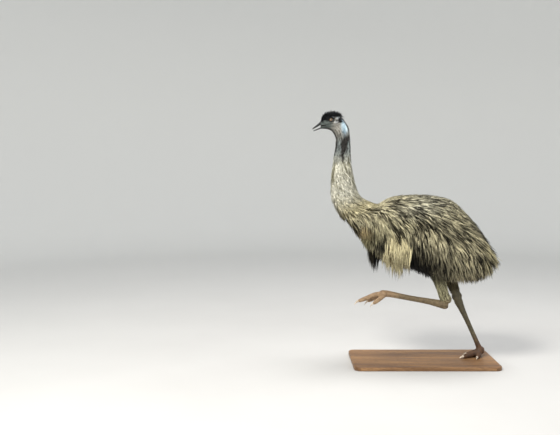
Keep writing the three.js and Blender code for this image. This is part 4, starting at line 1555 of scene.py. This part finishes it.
# the coat's styles: count of locks and of strands in each, sizes in mm, rings along a strand, and shares of
# the length, of the depth and of the pale streaks; hem, the heights over the belly line between which
# hanging locks end. What a style doesn't give is as in commonStyle.
commonStyle = dict(each=4, rings=3, ridge=0.28, ragged=0.25, turn=0.1, rise=0.75, layers=0.45, pale=0.6,
                   group=4, loose=0.05, stand=0.9, short=0)
plumeStyles = {
    "back": dict(count=2350, length=138, width=5.0, spread=7.5, bow=1.8, turn=0.12, pale=0.45, group=3),
    "flank": dict(count=1950, length=144, rings=4, width=5.2, spread=7.5, bow=2.2, ragged=0.28,
                  layers=0.5, pale=0.47, hem=(-16, 8), short=72, group=3),
    "rump": dict(count=1900, length=142, rings=4, width=5.2, spread=7.5, bow=2.2, rise=0.8,
                 layers=0.5, pale=0.45, hem=(-16, 10), group=3),
    "breast": dict(count=2350, length=120, width=4.2, spread=7, bow=1.6, pale=0.58, hem=(-34, -4),
                   loose=0.13, group=6),
    "lowNeck": dict(count=2600, length=92, width=2.6, ridge=0.3, spread=4, bow=1.4, ragged=0.3,
                    rise=0.8, pale=0.7, group=12),
    "upperNeck": dict(count=2750, each=3, length=42, width=1.5, ridge=0.35, spread=4, bow=1.0,
                      ragged=0.35, turn=0.16, rise=0.8, layers=0.5, group=5),
    "cheek": dict(count=1250, each=2, length=12, width=0.75, ridge=0.5, spread=1.4, bow=0.5,
                  ragged=0.4, turn=0.2, rise=0.9, layers=0.4, pale=0.55, height=2.5, group=8),
    "face": dict(count=1300, each=2, length=5, rings=2, width=0.4, ridge=0.5, spread=1.2, bow=0.2,
                 ragged=0.4, turn=0.3, rise=0.9, layers=0.4, pale=0.4, height=1.2),
    "crown": dict(count=950, each=3, length=30, width=1.3, ridge=0.5, spread=3.6, bow=2.2,
                  ragged=0.5, turn=0.8, rise=0.45, layers=0.3, pale=0.3, stand=3.0, tall=(0.35, 2.0)),
    "wing": dict(count=540, length=212, rings=5, width=5.0, spread=12, bow=8, ragged=0.3,
                 turn=0.15, rise=0.5, layers=0.6, pale=0.64, stand=0.35, group=5),
    "breastTuft": dict(count=180, length=140, rings=4, width=4.4, spread=10, bow=4, ragged=0.38,
                       rise=0.6, layers=0.5, pale=0.35, stand=0.3, group=5),
}
plumeStyles = {name: {**commonStyle, **style} for name, style in plumeStyles.items()}
plumeMaterial = strandMaterial("plumeStrands", 0.6, 0.12, 0.5, 0.6)
neckMaterial = strandMaterial("neckStrands", 0.45, 0.05, 0.4, 0.62)
hairMaterial = strandMaterial("bristles", 0.2, 0.0, 0.3, 0.5)


def growLocks(name, styleName, weight, material, tone=None):
    # One coat piece of a style's locks, scattered by weight, in its own tone or by the markings and
    # painted shade.
    style = plumeStyles[styleName]
    parts = lockStrands(*scatter(style["count"], weight), style)
    if tone:
        parts[5] = plainTints(tone, len(parts[0]))
    tintedCoat(name, parts, material)


def growPlumes():
    # The coat from the rump's end up to the neck, the back and the flanks in a left and a right piece.
    for part, angles in (("back", (-5, 72)), ("flank", (70, 190))):
        for side, word in sides:
            weight = tableWeight((11.2, 14.9), angles) * (np.sin(gridAngles) * side > 0)
            name = "coat" + part.capitalize() + word.capitalize()
            growLocks(name, part, weight, plumeMaterial)
    growLocks("coatRump", "rump", tableWeight((14.9, 18.2)), plumeMaterial)
    growLocks("coatBreast", "breast", tableWeight((8.6, 11.2)), plumeMaterial)
    growLocks("coatNeckLower", "lowNeck", tableWeight((5.9, 8.6)), neckMaterial)
    growLocks("coatNeckUpper", "upperNeck", tableWeight((3.9, 5.9)), neckMaterial)


def growHeadHair():
    # Bristles on the crown, short hair on the cheeks and the back of the head, the finest on the face.
    masks = headMasks(flatTable, (gridPlaces < 4.4).astype(float).ravel())
    crown = masks["crown"].reshape(gridPlaces.shape)
    clear = smoothStep(1.25, 1.5, eyeTable) * smoothStep(0.7, 1.0, earTable) * (gapTable < 0.05)
    cheeks = (1 - crown) * clear * tableWeight((2.5, 4.2), fade=0.4)
    face = (1 - crown) * clear * tableWeight((0.2, 2.9), fade=0.2)
    growLocks("hairCrown", "crown", crown * clear * (gridPlaces > 0.15), hairMaterial, "crown")
    growLocks("hairCheeks", "cheek", cheeks, hairMaterial)
    growLocks("hairFace", "face", face, hairMaterial)


# the lashes stand between two of the 72 points of the lid's edge
lashShape = {"count": 30, "length": 9.0, "width": 0.7, "from": 3, "to": 33, "bend": (0, 0.1, 0.45)}


def growLashes():
    # Lashes: from the upper lid's edge outwards, bending up with the square of the way.
    count = lashShape["count"]
    share = np.linspace(0, 1, 4)[None, :, None]
    lot = []
    for side, _ in sides:
        path, radius = lidPath(side)
        pick = np.linspace(lashShape["from"], lashShape["to"], count).astype(int)
        root = path[pick] + np.array([side, 0, 0.6]) * radius[pick][:, None] * 0.6
        fan = (path[pick] - path.mean(0)) / mm / 12
        out = unit(np.stack([np.full(count, side * 1.0), fan[:, 1] * 0.8 + 0.25, np.full(count, 0.15)], -1))
        reach = lashShape["length"] * mm * draw.uniform(0.75, 1.1, (count, 1, 1))
        bend = np.array(lashShape["bend"]) * reach * share ** 2
        lot.append(root[:, None] + out[:, None] * reach * share + bend)
    points = np.concatenate(lot)
    normals = np.broadcast_to(np.array([0.0, 0.0, 1.0]), points.shape)
    width = np.full(len(points), lashShape["width"] * mm)
    roots = np.stack([np.linspace(0, 1, len(points)), np.repeat([0.25, 0.75], count)], -1)
    tints = plainTints("crown", len(points))
    parts = [points, normals, width, width * 0.7, draw.random(len(points)), tints, roots]
    tintedCoat("lashes", parts, hairMaterial)


# where hanging plumes grow: middle and half sizes of a patch in side view, and the share of their tone
hangingPlumes = {
    "wing": dict(y=-168, z=796, size=(62, 44), share=0.85),
    "breastTuft": dict(y=-316, z=700, size=(40, 40), share=0.85),
}


def hangPlumes(name, tone, nodes, where):
    # Long loose plumes from a small patch of the skin that hang down, drawing a little together.
    spec, style = hangingPlumes[tone], plumeStyles[tone]
    patch = blob(flatTable, spec["y"], spec["z"], *spec["size"], 0.6).reshape(gridPlaces.shape)

    def downward(place, angle, points):
        # Straight down, with a lean in or out that grows with the distance from the patch's middle.
        lean = -0.32 * (points[:, 1] - spec["y"] * mm) / (style["length"] * mm)
        return unit(np.stack([np.zeros(len(points)), lean, -np.ones(len(points))], -1))

    parts = lockStrands(*scatter(style["count"], patch * where), style, downward)
    layer(parts[5], tone, np.full(len(parts[0]), spec["share"]))
    tintedCoat(name, parts, plumeMaterial, nodes)


# the plumes down the shins
shinPlumes = {
    "length": 46,
    "width": 2.6,
    "lift": 7,
    "rings": 3,
    "knotGap": 52,        # mean distance between the shin's knots
    1: dict(count=1250, places=(0.3, 4.3)),    # on the left and on the right: how many, between which knots
    -1: dict(count=750, places=(0.3, 2.5)),
}


def shinStrands(side):
    # Plumes down one shin: each runs along the limb at a fixed angle and rises off it with the square
    # root of the way. Gives points, normals, both tints and the places on the unwrap.
    leg, count, (low, high) = legShape[side], shinPlumes[side]["count"], shinPlumes[side]["places"]
    k = np.arange(count)
    start = low + (high - low) * ((k * 0.754877666 + 0.5) % 1)
    around = 2 * math.pi * ((k * 0.569840291 + 0.5) % 1)
    long = shinPlumes["length"] * draw.uniform(0.6, 1.1, count) * (1 - 0.35 * smoothStep(3.0, 4.3, start))
    drift = draw.normal(0, 0.12, count)
    lift = draw.uniform(0.3, 1.0, count) * shinPlumes["lift"]
    rings = []
    for way in np.linspace(0, 1, shinPlumes["rings"] + 1):
        t = start + long / shinPlumes["knotGap"] * way
        grow = (lift * math.sqrt(way) - legSkin["shinInset"]) * mm
        rings.append(limbSurface(leg["shin"], leg["across"], t, around + drift * way, grow))
    points = np.stack(rings, 1)
    outward = unit(rings[0] - limbFrames(leg["shin"], leg["across"], start)[0])
    # the far shin's plumes take its painted-shade tone; the tops of both shins' plumes, under the belly,
    # darken in the hem's tone as painted shade
    tints = plainTints(leg["tones"][1], count)
    layer(tints, "hem", fallStep(0.6, 1.6, start) * 0.7)
    roots = np.stack([start / 10 + (0.5 if side < 0 else 0.0), around / (2 * math.pi)], -1)
    return points, np.broadcast_to(outward[:, None], points.shape), *tints, roots


def growShins():
    # The plumes of both shins as one piece.
    both = zip(*(shinStrands(side) for side, _ in sides))
    points, normals, dark, pale, roots = (np.concatenate(found) for found in both)
    count = len(points)
    width = shinPlumes["width"] * mm * draw.uniform(*growth["ownWidth"], count)
    chance = np.where(draw.random(count) < 0.6, draw.uniform(0.5, 1, count), draw.uniform(0, 0.3, count))
    parts = [points, normals, width, width * 0.3, chance, (dark, pale), roots]
    tintedCoat("coatShins", parts, plumeMaterial)


fromMiddle = np.abs(skinTable[..., 0])
growPlumes()
hangPlumes("coatWings", "wing", ("wing_left", "wing_right"), fromMiddle > 0.09)
below = (fromMiddle < 0.055) * (np.cos(gridAngles) < -0.4)
hangPlumes("coatBreastTuft", "breastTuft", ("breast_tuft",), below)
growShins()
growHeadHair()
growLashes()

# camera, lights and floor
cameraPlace = {"distance": 5000, "alongBird": -864, "eye": 1224, "aim": 879, "lens": 53.7, "sensor": 36}
camera = bpy.data.objects.new("camera", bpy.data.cameras.new("camera"))
bpy.context.scene.collection.objects.link(camera)
camera.location = [cameraPlace[key] * mm for key in ("distance", "alongBird", "eye")]
tilt = math.atan2(cameraPlace["eye"] - cameraPlace["aim"], cameraPlace["distance"])
camera.rotation_euler = (math.pi / 2 - tilt, 0, math.pi / 2)
camera.data.lens = cameraPlace["lens"]
camera.data.sensor_width = cameraPlace["sensor"]
bpy.context.scene.camera = camera

# place, aim and size in metres, power in watts, colour
studioLights = {
    "keyLight": ((2.6, -2.2, 4.2), (0, -0.1, 0.8), 1.6, 270, (1, 0.98, 0.93)),
    "topLight": ((-0.6, 0.6, 4.4), (0, 0, 0.8), 2.2, 130, (1, 1, 1)),
    "fillLight": ((3.6, 2.6, 1.6), (0, 0, 0.8), 2.5, 40, (0.93, 0.96, 1)),
}
skyLight = {"Color": (0.86, 0.9, 0.95, 1), "Strength": 0.45}
# in metres: how far out the floor is level, the radius of its bend and the wall above that
floorShape = {"level": 6.0, "bend": 2.0, "wall": 3.0, "columns": 96}


def areaLight(name, place, aim, size, power, colour):
    # A round light at a place, turned so that it looks along the line to its aim.
    light = bpy.data.objects.new(name, bpy.data.lights.new(name, "AREA"))
    bpy.context.scene.collection.objects.link(light)
    light.data.shape = "DISK"
    light.data.size = size
    light.data.energy = power
    light.data.color = colour
    light.location = place
    x, y, z = np.array(place) - np.array(aim)
    light.rotation_euler = (math.atan2(math.hypot(x, y), z), 0, math.atan2(x, -y))
    light.visible_camera = False


world = bpy.data.worlds.new("studio")
bpy.context.scene.world = world
world.use_nodes = True
for socket, value in skyLight.items():
    world.node_tree.nodes["Background"].inputs[socket].default_value = value
for name, light in studioLights.items():
    areaLight(name, *light)
bpy.context.scene.view_settings.view_transform = "Standard"


def makeStage():
    # A round floor that curves up into a wall: the profile is level to its edge, then a quarter circle.
    level, bend, columns = floorShape["level"], floorShape["bend"], floorShape["columns"]
    t = np.linspace(0, math.pi / 2, 16)[1:]
    radius = np.concatenate([np.linspace(0.02, level, 12), level + bend * np.sin(t), [level + bend]])
    height = np.concatenate([np.zeros(12), bend * (1 - np.cos(t)), [bend + floorShape["wall"]]])
    turn = np.linspace(0, 2 * math.pi, columns, endpoint=False)
    high = np.repeat(height[:, None], columns, 1)
    points = np.stack([radius[:, None] * np.cos(turn), radius[:, None] * np.sin(turn), high], -1)
    verts = np.concatenate([points.reshape(-1, 3), [[0, 0, 0]]])
    j = np.arange(columns)
    centre = np.stack([j, (j + 1) % columns, np.full(columns, len(verts) - 1)], -1)
    faces = np.concatenate([gridFaces(len(radius), columns), centre])[:, ::-1]
    mesh = bpy.data.meshes.new("studioFloor")
    mesh.from_pydata(verts.tolist(), [], faces.tolist())
    mesh.polygons.foreach_set("use_smooth", np.ones(len(mesh.polygons), bool))
    floor = bpy.data.objects.new("studioFloor", mesh)
    bpy.context.scene.collection.objects.link(floor)
    material, tree, shader = newMaterial("paleFloor", Roughness=0.8)
    place = objectPlace(tree)
    tone = mixColour(tree, noise(tree, place, 1.3, 4.0), (0.50, 0.49, 0.475, 1), (0.56, 0.55, 0.535, 1))
    away = addNode(tree, "VectorMath", {0: place}, operation="LENGTH").outputs["Value"]
    dress(tree, shader, mixColour(tree, mapRange(tree, away, 1.5, 7.0), tone, (0.82, 0.82, 0.80, 1)))
    mesh.materials.append(material)


makeStage()
